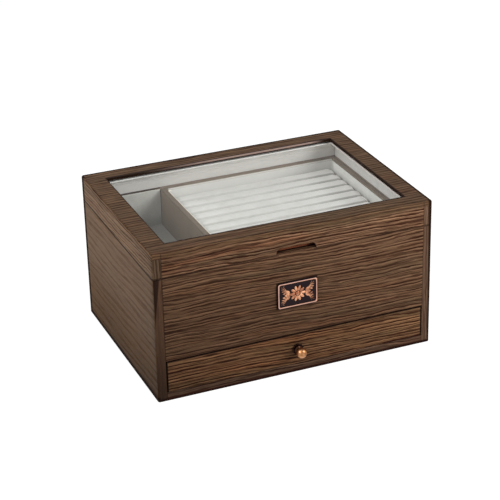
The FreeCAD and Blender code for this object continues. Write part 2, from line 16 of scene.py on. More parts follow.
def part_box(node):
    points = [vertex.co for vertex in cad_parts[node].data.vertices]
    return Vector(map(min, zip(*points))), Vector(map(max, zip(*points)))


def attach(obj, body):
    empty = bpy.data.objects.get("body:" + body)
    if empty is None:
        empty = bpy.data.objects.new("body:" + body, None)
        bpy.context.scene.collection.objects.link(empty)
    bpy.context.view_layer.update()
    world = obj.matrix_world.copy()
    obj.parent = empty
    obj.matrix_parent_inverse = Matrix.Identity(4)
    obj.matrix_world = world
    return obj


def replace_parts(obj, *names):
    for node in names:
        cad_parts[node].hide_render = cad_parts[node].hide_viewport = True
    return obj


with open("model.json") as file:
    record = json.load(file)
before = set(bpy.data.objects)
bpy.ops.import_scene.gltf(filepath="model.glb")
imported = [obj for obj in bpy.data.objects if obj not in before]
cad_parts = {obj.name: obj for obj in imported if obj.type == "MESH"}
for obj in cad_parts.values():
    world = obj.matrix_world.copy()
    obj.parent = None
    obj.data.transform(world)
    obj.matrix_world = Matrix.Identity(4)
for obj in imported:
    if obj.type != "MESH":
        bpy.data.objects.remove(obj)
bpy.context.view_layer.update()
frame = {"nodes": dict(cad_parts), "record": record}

MM = 0.001
MERGE = 0.001 * MM
nodes = frame["nodes"]
body_of = {name: body for body, names in frame["record"]["behaviour"]["bodies"].items() for name in names}


def show(name, data):
    """A new object in the scene."""
    thing = bpy.data.objects.new(name, data)
    bpy.context.scene.collection.objects.link(thing)
    return thing


# %% [markdown]
# ## The camera
# A product picture of a small box is taken from a good distance with a long lens, which keeps
# the upright edges nearly parallel. The camera is set by where it looks and from which
# direction, because those numbers can be read and changed one at a time.

# %% Aim the camera
FRAME_PIXELS = 500
FOCAL_PIXELS = 1693.5
SENSOR_WIDTH = 36.0
VIEW_AZIMUTH = radians(-22.19)
VIEW_ELEVATION = radians(25.375)
VIEW_ROLL = radians(-1.42)
VIEW_DISTANCE = 1.4137
VIEW_TARGET = Vector((-0.00383, 0.0, 0.07213))


def toward(azimuth, elevation):
    """The direction from the box to a place: azimuth 0 is in front of it and 90 on its right."""
    return Vector((sin(azimuth) * cos(elevation), -cos(azimuth) * cos(elevation), sin(elevation)))


def aim_camera():
    """Looks at the target from the left of the front, a little above."""
    back = toward(VIEW_AZIMUTH, VIEW_ELEVATION)
    level = Vector((0, 0, 1)).cross(back).normalized()
    upward = back.cross(level)
    right = level * cos(VIEW_ROLL) + upward * sin(VIEW_ROLL)
    above = upward * cos(VIEW_ROLL) - level * sin(VIEW_ROLL)
    turn = Matrix((right, above, back)).transposed().to_4x4()
    camera = show("camera", bpy.data.cameras.new("camera"))
    camera.matrix_world = Matrix.Translation(VIEW_TARGET + back * VIEW_DISTANCE) @ turn
    camera.data.sensor_width = SENSOR_WIDTH
    camera.data.lens = FOCAL_PIXELS / FRAME_PIXELS * SENSOR_WIDTH
    bpy.context.scene.camera = camera
    return camera


print("lens", round(aim_camera().data.lens, 1), "mm")

# %% [markdown]
# ## Node trees as plain expressions
# A finish is arithmetic on coordinates. Laying out fifty Math nodes by hand hides that, so one
# small class stands for a socket and lets `1 - mask * 0.5` add its own nodes. The same class
# serves the shaders and the Geometry Nodes.


# %% A socket that can be used in sums
class Wire:
    """One output of a node."""

    def __init__(self, bench, socket):
        self.bench = bench
        self.socket = socket

    def out(self, name):
        """Another output of the same node."""
        return Wire(self.bench, self.socket.node.outputs[name])

    def maths(self, operation, *others):
        return self.bench.add("ShaderNodeMath", [self, *others], operation=operation)

    def __add__(self, other):
        return self.maths("ADD", other)

    def __sub__(self, other):
        return self.maths("SUBTRACT", other)

    def __rsub__(self, other):
        return self.bench.add("ShaderNodeMath", [other, self], operation="SUBTRACT")

    def __mul__(self, other):
        return self.maths("MULTIPLY", other)

    def __truediv__(self, other):
        return self.maths("DIVIDE", other)

    def __pow__(self, other):
        return self.maths("POWER", other)

    __radd__ = __add__
    __rmul__ = __mul__

    def size(self):
        return self.maths("ABSOLUTE")

    def larger(self, other):
        return self.maths("MAXIMUM", other)

    def above(self, level):
        """1 above level, 0 below it."""
        return self.maths("GREATER_THAN", level)

    def below(self, level):
        return self.maths("LESS_THAN", level)

    def step(self, low, high):
        """0 below low, 1 above high and smooth between."""
        return self.bench.add("ShaderNodeMapRange", {"Value": self, "From Min": low, "From Max": high},
                              interpolation_type="SMOOTHSTEP")

    def rises(self, low, high):
        """The same for a length, from low to high in millimetres."""
        return self.step(low * MM, high * MM)

    def falls(self, low, high):
        return 1 - self.rises(low, high)


# %% A bench that nodes are added to
class Bench:
    """A node tree that is written as expressions."""

    def __init__(self, tree):
        self.tree = tree
        tree.nodes.clear()

    def add(self, kind, values=None, output=0, **settings):
        """One node. Its settings come first, then values or wires for its sockets, by name or in order."""
        node = self.tree.nodes.new(kind)
        for name, value in settings.items():
            setattr(node, name, value)
        for key, value in values.items() if isinstance(values, dict) else enumerate(values or []):
            if isinstance(value, Wire):
                self.tree.links.new(value.socket, node.inputs[key])
            else:
                node.inputs[key].default_value = value
        return Wire(self, node.outputs[output]) if node.outputs else None

    def split(self, vector):
        first = self.add("ShaderNodeSeparateXYZ", [vector])
        return first, first.out("Y"), first.out("Z")

    def join(self, x, y, z):
        return self.add("ShaderNodeCombineXYZ", [x, y, z])

    def stretch(self, vector, by):
        return self.add("ShaderNodeVectorMath", [vector, by], operation="MULTIPLY")

    def shift(self, vector, by):
        return self.add("ShaderNodeVectorMath", [vector, by], operation="ADD")

    def mix(self, factor, a, b):
        """Colour a where factor is 0, colour b where it is 1."""
        return self.add("ShaderNodeMix", {0: factor, 6: a, 7: b}, 2, data_type="RGBA")

    def swap(self, factor, a, b):
        """The same choice between two vectors."""
        return self.add("ShaderNodeMix", {0: factor, 4: a, 5: b}, 1, data_type="VECTOR")

    def cloud(self, vector, detail=2.0, rough=0.5):
        """Soft noise about 0.5."""
        return self.add("ShaderNodeTexNoise",
                        {"Vector": vector, "Scale": 1.0, "Detail": detail, "Roughness": rough})


def shade(*colour):
    """A colour as a maker reads it off a swatch, 0 to 255, as the linear light that shaders want."""
    linear = [c / 255 / 12.92 if c <= 10 else ((c / 255 + 0.055) / 1.055) ** 2.4 for c in colour]
    return (*linear, 1.0)


print("oak brown in linear light:", [round(c, 3) for c in shade(92, 70, 54)])

# %% [markdown]
# ## One way to finish a material
# Each finish ends in one Principled shader. What changes over the surface is wired in; a number
# that is the same all over is written straight on the shader's own socket, because an exporter
# can read it there. The patterns are laid out by the object's own coordinates, so they keep
# their real size and stay on the piece when it moves.


# %% Start and end a finish
SPECULAR, METAL = "Specular IOR Level", "Metallic"


class Finish(Bench):
    """The bench of one material."""

    def __init__(self, name):
        self.material = bpy.data.materials.new(name)
        self.material.use_nodes = True
        super().__init__(self.material.node_tree)

    def place(self):
        return self.add("ShaderNodeTexCoord", output="Object")

    def xyz(self):
        return self.split(self.place())

    def facing(self):
        """The three parts of the normal."""
        return self.split(self.add("ShaderNodeTexCoord", output="Normal"))

    def cover_with(self, shader):
        self.add("ShaderNodeOutputMaterial", {"Surface": shader})
        return self.material

    def close(self, colour, roughness, relief, depth, plain):
        """The closing shader. relief is from 0 to 1, depth is its real depth in metres, and plain names
        the sockets that are the same all over."""
        bump = self.add("ShaderNodeBump", {"Strength": 1.0, "Distance": depth, "Height": relief})
        varied = {"Base Color": colour, "Roughness": roughness, "Normal": bump}
        return self.cover_with(self.add("ShaderNodeBsdfPrincipled", {**varied, **plain}))

# %% [markdown]
# ## Oak veneer
# The box is covered with thin sheets of open-grained oak, stained dark and sealed with a satin
# lacquer. Seen close, veneer has four things in it: broad tonal bands, growth lines a few
# millimetres apart that wander, short dark pores that lie along the grain, and fine fibre. The
# lines are a wave that noise pushes about. The others are noise, long with the grain and narrow
# across it.
#
# The grain's direction depends on the face: it runs along the box on the front, back and top,
# from front to back on the two ends, and upright on the narrow front edges of the end panels.
# The direction is picked from the face's normal, so one finish covers a whole board.

# %% Colours and scale of the figure
OAK_PALE = shade(104, 80, 63)
OAK_MIDDLE = shade(91, 69, 55)
OAK_BLUSH = shade(100, 64, 45)
OAK_COOL = shade(75, 64, 51)
OAK_LINE = shade(38, 17, 9)
OAK_PORE = shade(26, 13, 8)
# A painted highlight on the window's back lip.
LIP_HIGHLIGHT = shade(150, 128, 120)
OAK_EDGE = shade(112, 60, 40)
OAK_RAW = shade(146, 86, 60)
# Painted light that lifts the shade on inner faces beside the ring tray.
PAINTED_INNER_LIGHT = shade(150, 134, 120)
LINE_PITCH = 2.95 * MM
LINE_SLOPE = 0.018
NOTCH_HALF = 15 * MM
NOTCH_REACH = 22 * MM
FACE_TURN = 0.72
BOARD = 8 * MM
SEAM_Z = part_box("lid_front_rail")[0].z
END_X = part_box("front_panel")[1].x
INNER_Y = -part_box("front_panel")[0].y - BOARD
OUTER_X, OUTER_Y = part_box("lid_top_frame")[1].xy
RAIL_WIDTH = 17 * MM
WINDOW_X, WINDOW_Y = OUTER_X - RAIL_WIDTH, OUTER_Y - RAIL_WIDTH
print("seam", round(SEAM_Z / MM, 1), "mm up, window", [round(2 * w / MM) for w in (WINDOW_X, WINDOW_Y)])


# %% Growth lines
def grain_axes(bench, end_board):
    """Object coordinates with the grain's direction first."""
    x, y, z = bench.xyz()
    nx, ny, _ = bench.facing()
    lengthwise = bench.join(y, x, z)
    if end_board:
        return bench.swap(ny.size().above(FACE_TURN), lengthwise, bench.join(z, x, y))
    return bench.swap(nx.size().above(FACE_TURN), bench.join(x, y, z), lengthwise)


WAVERS = ((6, 15, 9 * MM), (24, 55, 3.6 * MM), (110, 260, 1.5 * MM))


def growth_lines(bench, grain):
    """How far a point is along the grain, and how many growth lines lie below it."""
    along, across, depth = bench.split(grain)
    place = across + depth + along * LINE_SLOPE
    for lengthwise, sideways, reach in WAVERS:
        waver = bench.cloud(bench.stretch(grain, (lengthwise, sideways, sideways)), 1.0) - 0.5
        place = place + waver * reach
    return along, place * (1 / LINE_PITCH)


def lines(bench, along, count, share, seed):
    """Dark lines, share of the pitch wide, and the pale wood beside each. They come, go and merge."""
    count = count + (bench.cloud(bench.join(along * 13, count * 0.8, seed + 5), 1.0) - 0.5) * 1.2

    def wave(shift):
        return ((count + shift) * (2 * pi)).maths("SINE") * 0.5 + 0.5
    strength = bench.cloud(bench.join(along * 32, count * 0.8, seed), 1.0).step(0.2, 0.6)
    return wave(0.0).step(1 - share, 1 - share * 0.25) * strength, wave(0.34).step(0.7, 1.0) * strength


# %% [markdown]
# Narrow dark lines are painted shade where boards meet and along edges: the seam between lid and
# case, the joints beside the front and back boards, which are also dark joints, the gap round the
# drawer front, the line round the plaque, the front panel's foot, the lowest arrises, the rear and
# right ones of the top and two of the upright ones. The left end panel also has a streak of dark
# heartwood down its front edge, as a sawn strip often has. Round the window the top board's cut
# edge has a ring of painted shade and a painted highlight along part of the back, and the finger
# notch shows raw wood between bands of painted shadow.


# %% Which way a face looks
def upright(bench):
    """1 on faces that aren't level."""
    return bench.facing()[2].size().below(FACE_TURN)


def narrow_edge(bench):
    """1 on faces that look forwards or back."""
    return bench.facing()[1].size().above(FACE_TURN)


# %% Joints and arrises
TURNED = 0.08
# How dark the painted shade along the arrises is.
ARRIS_SHADE = 0.92


def joint_lines(bench):
    """Painted shade in the seam under the lid, and the upright joints, which are dark joints with painted
    shade. Both are darker on the left.
    """
    x, y, z = bench.xyz()
    outside = (x.size() - END_X).larger(y.size() - INNER_Y).above(0.5 * MM)
    notch = y.below(0.0) * x.size().below(NOTCH_HALF)
    # The seam's band is painted shade in the gap under the lid.
    seam = (z - SEAM_Z).size().falls(0.5, 1.2) * upright(bench) * outside * (1 - notch)
    end = (x.size() - END_X).size().falls(0.1, 0.8)
    return (seam * (0.8 - x * 1.6)).larger(end * narrow_edge(bench) * (0.55 - x))


def arris_lines(bench):
    """Painted shade along the lowest arrises, the rear and right ones of the top, and two upright ones."""
    x, y, z = bench.xyz()
    nx, ny, nz = [side.size().above(TURNED) for side in bench.facing()]
    low = (z - nx * (1.6 * MM)).falls(2.0, 3.2)
    level = (y - OUTER_Y + 0.7 * MM).larger(x - OUTER_X).rises(-3.1, -2.1) * nz
    right_front = (x - OUTER_X + z * 0.009).rises(-2.7, -1.7) * ny * y.below(0.0)
    left_rear = (y - OUTER_Y).rises(-7.2, -6.0) * nx * x.below(0.0)
    return low.larger(level).larger(right_front).larger(left_rear) * ARRIS_SHADE


def past_plaque(x, z):
    """How far a point lies outside the plaque's outline. Inside it is negative."""
    low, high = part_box("plaque")
    middle, reach = (low + high) / 2, (high - low) / 2
    return ((x - middle.x).size() - reach.x).larger((z - middle.z).size() - reach.z)


def gap_lines(bench, node):
    """Painted shade: the arrises beside the gap round the drawer front, the front panel's foot and the line
    round the plaque.
    """
    x, y, z = bench.xyz()
    low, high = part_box(node)
    if node == "drawer_front":
        return (x.size() - high.x).larger(z - high.z).rises(-0.8, -0.2) * (y - low.y).falls(2.5, 3.5)
    # Painted shade along the front panel's foot and round the plaque.
    foot = 1 - z.step(low.z + 0.2 * MM, low.z + 0.7 * MM)
    return foot.larger(past_plaque(x, z).falls(0.3, 0.9))


# %% Heartwood, notch and window edge
HEART_TIP_Z = 60 * MM
HEART_SLOPE = 0.12


def heart_streak(bench, corner_x):
    """A wedge that is widest at the seam and ends in a point below the middle of the panel."""
    x, y, z = bench.xyz()
    inside = (x - corner_x - (z - HEART_TIP_Z) * HEART_SLOPE).falls(-0.9, 0.4)
    return inside * narrow_edge(bench) * y.below(0.0)


def notch_back(bench, colour):
    """The wood inside the finger notch: raw and reddish, with painted shadow under its roof, on its foot
    and at its right end.
    """
    x, y, z = bench.xyz()
    inside = (y + OUTER_Y).above(1.0 * MM) * x.size().below(NOTCH_REACH) * y.below(0.5 * MM - INNER_Y)
    raw = z.rises(108.0, 109.0) * z.falls(110.6, 111.4) * x.rises(-16, -10) * (1 - x.rises(9, 15) * 0.7)
    # Outside the raw band the notch is painted shadow.
    return bench.mix(inside, colour, bench.mix(raw, OAK_PORE, OAK_RAW))


def painted_window_edge(bench, colour):
    """The window's edge: a ring of painted shade, and a painted highlight on the lip along the right half
    of the back.
    """
    x, y, z = bench.xyz()
    past_side, past_rear = x.size() - WINDOW_X, y.size() - WINDOW_Y
    # A ring of painted shade along the window's arris.
    ring = past_side.larger(past_rear - 0.8 * MM).falls(0.7, 1.3)
    colour = bench.mix(ring * 0.94, colour, OAK_PORE)
    # A painted highlight on the upper part of the lip's faces at the back.
    face = past_side.larger(past_rear).falls(0.1, 0.35) * z.rises(126.6, 127.0)
    rear = x.rises(-80, 10) * x.falls(82, 98) * y.above(0.0)
    return bench.mix(face * rear, colour, LIP_HIGHLIGHT)


# %% [markdown]
# No board is equally light all over: slow gradients of painted light and shade multiply the
# figure. The boards are darker towards the foot, the left end also towards its front and on its
# front edge, the front boards grow lighter towards the right, and the top's upright faces are
# lighter than its top, which grows lighter towards the back. A tint for each board comes on top.


# %% Painted light and shade over a board
def painted_board_light(bench, node, end_board, light):
    """The figure's lightness times the board's painted light and shade."""
    right, back, height = bench.xyz()
    if end_board and "left" in node:
        behind = back + OUTER_Y
        light = light * (back + 0.93) * (1 - behind.falls(0, 9) * 0.24) * (1 - behind.falls(0, 62) * 0.2)
        return light * (1 - narrow_edge(bench) * 0.2) * (height.rises(0, 85) * 0.46 + height + 0.31)
    if end_board:
        return light * (height * 3 + 0.76)
    if node == "lid_top_frame":
        return light * (1 + upright(bench) * 0.5) * (back * 0.6 + 1.03)
    return light * (right * 2.1 + 1) * (height * 3.9 + 0.71)


def warm_foot(bench, colour):
    """The left panel's foot and front edge are warmer than its middle."""
    _, back, height = bench.xyz()
    edge = narrow_edge(bench)
    foot = height.falls(0, 70) * (1 - edge)
    warm = 1 + foot * back.rises(10, 87) * 0.35 + edge * 0.06
    green = 1 - foot * 0.27 - edge * 0.14
    return bench.stretch(colour, bench.join(warm, warm * green, warm * (1 - foot * 0.7 - edge * 0.16)))


def board_marks(bench, node, end_board, colour):
    """What only some boards show, and then the joints."""
    x, y, z = bench.xyz()
    if node == "base_board":
        colour = bench.mix(z.falls(1.2, 3.5) * 0.7, colour, OAK_EDGE)
    if node == "left_side_panel":
        streak = heart_streak(bench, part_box(node)[0].x)
        colour = bench.mix(streak * 0.85, warm_foot(bench, colour), OAK_PORE)
    if node == "lid_top_frame":
        colour = painted_window_edge(bench, colour)
    if node == "lid_front_rail":
        colour = notch_back(bench, colour)
    if node in ("drawer_front", "front_panel"):
        colour = bench.mix(gap_lines(bench, node) * 0.9, colour, OAK_PORE)
    # Painted light lifts the shaded inner faces beside the ring tray.
    if node in ("lid_back_rail", "back_panel", "lid_right_rail", "right_side_panel"):
        inner = (x.size() - END_X).larger(y.size() - INNER_Y).below(0.5 * MM)
        colour = bench.mix(inner * x.above(-53 * MM) * 0.9, colour, PAINTED_INNER_LIGHT)
    return bench.mix(joint_lines(bench) * (0.95 if end_board else 0.8), colour, OAK_PORE)


# %% Veneer
LINE_SPREAD = {"left_side_panel": 0.42}


def veneer(node, end_board, lift, tone, figure, tint):
    """Oak veneer for one board. lift moves the pattern, so that two boards aren't cut from one place."""
    bench = Finish("oak_veneer_" + node)
    along, count = growth_lines(bench, bench.shift(grain_axes(bench, end_board), lift))
    if node == "lid_top_frame":
        count = count * (upright(bench) * 0.3 + 0.7)
    elif node in LINE_SPREAD:
        count = count * LINE_SPREAD[node]

    def patch(lengthwise, crosswise, seed, low, high, detail=1.0):
        return bench.cloud(bench.join(along * lengthwise, count * crosswise, seed), detail).step(low, high)

    bold, lip = lines(bench, along, count, 0.46, 0.0)
    fine, _ = lines(bench, along * 1.7, count * 1.4 + 0.4, 0.5, 3.0)
    pores = patch(70, 2.8, 23.0, 0.54, 0.7)
    fibre = bench.cloud(bench.join(along * 120, count * 10, 29.0), 1.0)
    colour = bench.mix(patch(5, 0.22, 7.0, 0.3, 0.72, 2.0) * 0.7 + 0.2, OAK_MIDDLE, OAK_PALE)
    for mask, share, stain in ((patch(8, 0.3, 11.0, 0.5, 0.74), 0.4, OAK_BLUSH),
                               (patch(7, 0.24, 17.0, 0.5, 0.76), 0.5, OAK_COOL),
                               (fine, 0.65, OAK_LINE), (bold, 0.92, OAK_LINE), (pores, 0.55, OAK_PORE)):
        colour = bench.mix(mask * (share * figure), colour, stain)
    dull = patch(12, 0.5, 13.0, 0.42, 0.7)
    light = (fibre * 0.8 + 0.7 + lip * (0.52 * figure) - dull * (0.08 * figure)) * tone
    light = painted_board_light(bench, node, end_board, light)
    colour = bench.stretch(colour, bench.join(*(light * part for part in tint)))
    arris = arris_lines(bench)
    colour = bench.mix(arris, board_marks(bench, node, end_board, colour), OAK_PORE)
    relief = 1 - (bold * 0.35 + pores * 0.5 + fibre * 0.15)
    roughness = 0.52 + bold * 0.12 + fibre * 0.1 + arris * 0.3
    return bench.close(colour, roughness, relief, 0.1 * MM, {SPECULAR: 0.05})


PLAIN_TINT = (1.0, 1.0, 1.0)
# The tone column also paints light: the left end's boards are set lighter and the top darker than the
# front.
VENEERED = {
    "front_panel": (False, (0.0, 0.0, 0.0), 1.0, 0.92, (1.03, 0.98, 0.86)),
    "back_panel": (False, (0.41, 0.0, 0.02), 1.0, 1.0, PLAIN_TINT),
    "base_board": (False, (0.13, 0.03, 0.05), 0.95, 0.9, PLAIN_TINT),
    "drawer_bay_shelf": (False, (0.23, 0.0, 0.1), 1.0, 1.0, PLAIN_TINT),
    "lid_front_rail": (False, (0.07, 0.0, 0.004), 1.15, 1.08, (1.06, 1.01, 0.9)),
    "lid_back_rail": (False, (0.57, 0.0, 0.0), 1.0, 1.0, PLAIN_TINT),
    "lid_top_frame": (False, (0.07, 0.0, 0.004), 0.78, 0.8, (0.95, 0.94, 0.8)),
    "drawer_front": (False, (0.02, 0.0, 0.009), 1.34, 1.12, (1.14, 1.03, 0.79)),
    "left_side_panel": (True, (0.31, 0.17, 0.05), 1.51, 0.22, (1.0, 1.07, 1.03)),
    "right_side_panel": (True, (0.11, 0.27, 0.15), 1.15, 0.55, PLAIN_TINT),
    "lid_left_rail": (True, (0.36, 0.12, 0.07), 1.8, 0.6, (1.01, 1.11, 1.08)),
    "lid_right_rail": (True, (0.21, 0.07, 0.11), 1.15, 0.55, PLAIN_TINT),
}
finishes = {node: veneer(node, *board) for node, board in VENEERED.items()}
print(len(VENEERED), "boards veneered")

# %% [markdown]
# ## Plain board
# Inside the drawer the sides, back and bottom are thin stained boards with no veneer figure.


# %% Inner board
def inner_board(name):
    bench = Finish(name)
    place = bench.place()
    streak = bench.cloud(bench.stretch(place, (55, 6, 300)), 3.0)
    speck = bench.cloud(bench.stretch(place, (600, 60, 900)), 1.0)
    colour = bench.mix(streak.step(0.3, 0.75), shade(126, 98, 74), shade(96, 72, 53))
    colour = bench.mix(speck.step(0.58, 0.75) * 0.5, colour, shade(66, 47, 34))
    return bench.close(colour, 0.62 + streak * 0.2, speck, 0.05 * MM, {SPECULAR: 0.25})


finishes["board"] = inner_board("stained_board")
print("plain board:", finishes["board"].name)

# %% [markdown]
# ## Flannel and microfibre
# The linings and the rolls wear off-white flannel: matt, with a short nap that lies a little
# differently from place to place. The ring tray's rim wears taupe microfibre, which is
# smoother. Both get their depth from two noises, one for patches of nap and one for hairs, and
# each cloth has its own darker and lighter places, many of them painted light and shade.


# %% Cloth
def napped_cloth(name, pale, deep, nap, sheen, tones_and_painted_light):
    """A short-haired cloth. nap is the depth of the hairs in millimetres, and the last argument colours
    places, painted light and shade among them.
    """
    bench = Finish(name)
    place = bench.place()
    patches = bench.cloud(bench.stretch(place, (70, 70, 70)), 3.0, 0.6)
    hairs = bench.cloud(bench.stretch(place, (1500, 1900, 1500)), 2.0, 0.65)
    tuft = bench.cloud(bench.stretch(place, (420, 520, 420)), 2.0)
    colour = bench.mix(patches.step(0.35, 0.7) * 0.55 + hairs.step(0.4, 0.75) * 0.45, pale, deep)
    return bench.close(tones_and_painted_light(bench, colour), 0.86 + hairs * 0.12, hairs * 0.6 + tuft * 0.4, nap * MM,
                       {SPECULAR: 0.15, "Sheen Weight": sheen, "Sheen Roughness": 0.5,
                        "Sheen Tint": shade(255, 253, 248)})


# %% Painted light and shade on cloth, and its tones
ROLL_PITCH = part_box("ring_roll_02")[0].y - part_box("ring_roll_01")[0].y
CREASE_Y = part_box("ring_roll_02")[0].y + 0.6 * MM
LID_FOOT = 107 * MM


def lid_lining(bench, colour):
    """Greyer at the back's foot, painted light above it under the glass, and a painted highlight at the
    glass's right edge.
    """
    x, y, z = bench.xyz()
    rear = y.rises(60, 78)
    colour = bench.mix(rear * z.above(LID_FOOT) * 0.6, colour, shade(200, 195, 190))
    # Painted light lifts the back wall's upper part.
    colour = bench.mix(z.rises(114, 121) * rear, colour, shade(250, 248, 244))
    # A painted highlight along the top at the glass's right edge.
    return bench.mix(z.rises(122.6, 122.9) * x.rises(101, 103), colour, shade(255, 244, 240))


def painted_roll_shade(bench, colour):
    """Painted shade between the rolls and at their right ends, and painted light towards the right."""
    x, y, _ = bench.xyz()
    # Painted light lifts the rolls towards the right.
    colour = bench.mix(x.rises(40, 104), colour, shade(238, 236, 233))
    turn = ((y - CREASE_Y) * (1 / ROLL_PITCH)).maths("FRACT")
    away = turn.maths("MINIMUM", 1 - turn) * ROLL_PITCH
    # Painted shade in the creases and at the rolls' right ends.
    crease = away.falls(0.5, 1.9) * (x.rises(30, 100) * 0.3 + 0.3)
    end = x.rises(102.4, 104.4) * (0.95 - away.rises(4.2, 6.6) * 0.5)
    return bench.mix(crease.larger(end), colour, shade(118, 113, 107))


def painted_floor_shade(bench, colour):
    """The side tray is painted greyer towards its floor, as shade."""
    z = bench.xyz()[2]
    return bench.mix(z.falls(75, 84) * 0.7, colour, shade(142, 139, 132))


def bright_lip(bench, colour):
    """A painted highlight on the lining's fold beside the side tray, and a darker rear wall."""
    x, y, z = bench.xyz()
    colour = bench.mix(y.rises(68, 72), colour, shade(204, 202, 198))
    # The painted highlight on the fold.
    return bench.mix(z.rises(104.6, 105.4) * x.falls(-47, -44), colour, shade(246, 238, 226))


def handled_rim(bench, colour):
    """The divider's rim is worn dark. At the back the white lining is turned over the rim's edge."""
    x, y, z = bench.xyz()
    rim = z.rises(105.2, 106.4)
    colour = bench.mix(rim * x.falls(-48, -44) * 0.6, colour, shade(91, 79, 67))
    turned = y.rises(73.0, 73.4) * y.falls(75.6, 76.2) * x.rises(-48, -46.5) * x.below(107 * MM)
    return bench.mix(rim * turned, colour, shade(206, 202, 197))


# %% The five cloths
CLOTHS = {
    "flannel": ("off_white_flannel", shade(221, 219, 216), shade(206, 203, 199), 0.25, 0.15, lid_lining),
    # The well's flannel is paler than the lid's, as painted light on the well's walls.
    "well": ("well_flannel", shade(236, 235, 231), shade(222, 220, 215), 0.25, 0.15, bright_lip),
    "roll": ("roll_flannel", shade(215, 213, 210), shade(202, 200, 196), 0.22, 0.15, painted_roll_shade),
    "tray": ("grey_flannel", shade(190, 188, 182), shade(174, 172, 166), 0.25, 0.1, painted_floor_shade),
    "taupe": ("taupe_microfibre", shade(130, 115, 98), shade(118, 104, 89), 0.05, 0.05, handled_rim),
}
finishes.update({kind: napped_cloth(*cloth) for kind, cloth in CLOTHS.items()})
print("cloths:", [finishes[kind].name for kind in CLOTHS])

# %% [markdown]
# ## Metals
# The knob, rosette and hinges are antique brass: dark in the recesses, rubbed bright where
# fingers reach. The plaque is a copper casting whose ground keeps its dark patina, so its
# colour follows how far a point stands out of the ground.


# %% Metal finishes
def rubbed_metal(name, bright, dull, smooth, worn=0.5, recess_y=None):
    """Brass or steel with a handled surface. worn is the share of the surface that stays bright.

    Behind recess_y it is dark."""
    bench = Finish(name)
    place = bench.place()
    smudge = bench.cloud(bench.stretch(place, (260, 260, 260)), 3.0, 0.6)
    scratch = bench.cloud(bench.stretch(place, (3000, 500, 3000)), 1.0)
    colour = bench.mix(smudge.step(worn - 0.15, worn + 0.25), bright, dull)
    if recess_y is not None:
        depth = bench.split(place)[1] - recess_y + (smudge - 0.5) * MM
        colour = bench.mix(depth.rises(-0.6, 0.6) * 0.95, colour, shade(36, 22, 18))
    return bench.close(colour, smooth + smudge * 0.16 + scratch * 0.06, scratch, 0.01 * MM, {METAL: 1.0})


def cast_copper(name):
    """Copper with a dark ground. What stands in front of it is rubbed bright, the rim most, and the
    outermost edge is painted shade.
    """
    bench = Finish(name)
    place = bench.place()
    x, y, z = bench.split(place)
    speckle = bench.cloud(bench.stretch(place, (900, 900, 900)), 3.0, 0.6)
    tarnish = bench.cloud(bench.stretch(place, (200, 200, 200)), 2.0)
    relief = (PLAQUE_GROUND - y) * (1 / (PLAQUE_GROUND - PLAQUE_LOW.y))
    rubbed = (relief + (speckle - 0.5) * 0.35).step(0.3, 0.95)
    past = past_plaque(x, z)
    bright = bench.mix(tarnish.step(0.35, 0.7), shade(222, 160, 122), shade(150, 92, 66))
    bright = bench.mix((past + RIM_WIDTH).rises(-0.1, 0.2), bright, shade(212, 170, 154))
    # Painted shade at the plaque's outermost edge.
    bright = bench.mix(past.rises(-0.6, -0.3), bright, shade(50, 34, 34))
    colour = bench.mix(rubbed, shade(36, 26, 29), bright)
    return bench.close(colour, 0.6 - rubbed * 0.24, speckle, 0.03 * MM, {METAL: 0.9})


PLAQUE_LOW, PLAQUE_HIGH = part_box("plaque")
RIM_RISE = 0.5 * MM
RIM_WIDTH = 1.1 * MM
PLAQUE_GROUND = PLAQUE_LOW.y + RIM_RISE
KNOB_LOW, KNOB_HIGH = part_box("drawer_knob")
RECESS_Y = KNOB_LOW.y + (KNOB_HIGH.z - KNOB_LOW.z) / 2 + 1.4 * MM
finishes.update({
    "copper": cast_copper("cast_copper"),
    "brass": rubbed_metal("antique_brass", shade(196, 142, 98), shade(128, 84, 54), 0.24,
                          recess_y=RECESS_Y),
    "bronze": rubbed_metal("dark_bronze", shade(84, 58, 50), shade(34, 20, 17), 0.3, 0.3),
    "hinge": rubbed_metal("hinge_brass", shade(196, 160, 104), shade(140, 108, 64), 0.28),
    "steel": rubbed_metal("plated_steel", shade(196, 196, 192), shade(150, 150, 148), 0.25),
})
print("plaque ground at y =", round(PLAQUE_GROUND / MM, 2), "mm")

# %% [markdown]
# ## Glass
# A window pane shows what is behind it and mirrors a little of the room at a low angle. A
# clear shader and a mirror do this without bending the light, and the lamps still reach the
# cloth below. The mirror's share grows with the fourth power of how far the face turns away.

# %% Glass finish
GLASS_HEAD_ON = 0.008
GLASS_GRAZING = 0.16


def window_glass(name):
    bench = Finish(name)
    smear = bench.cloud(bench.stretch(bench.place(), (18, 18, 18)), 2.0)
    clear = bench.add("ShaderNodeBsdfTransparent", {"Color": (0.975, 0.982, 0.98, 1)})
    gloss = bench.add("ShaderNodeBsdfGlossy", {"Color": (1, 1, 1, 1), "Roughness": smear * 0.04 + 0.01})
    facing = bench.add("ShaderNodeLayerWeight", {"Blend": 0.5}, "Facing")
    mirror = facing ** 4.0 * GLASS_GRAZING + GLASS_HEAD_ON
    return bench.cover_with(bench.add("ShaderNodeMixShader", [mirror, clear, gloss]))


finishes["glass"] = window_glass("window_glass")
print("glass mirrors", GLASS_HEAD_ON, "head on and", GLASS_HEAD_ON + GLASS_GRAZING, "at its edge")

# %% [markdown]
# ## Dress the CAD pieces that stay
# The boards, hinges, knob and pane are right as they came, so they only get their finish. A
# CAD object's material slots are all filled with it, whatever the file came with.

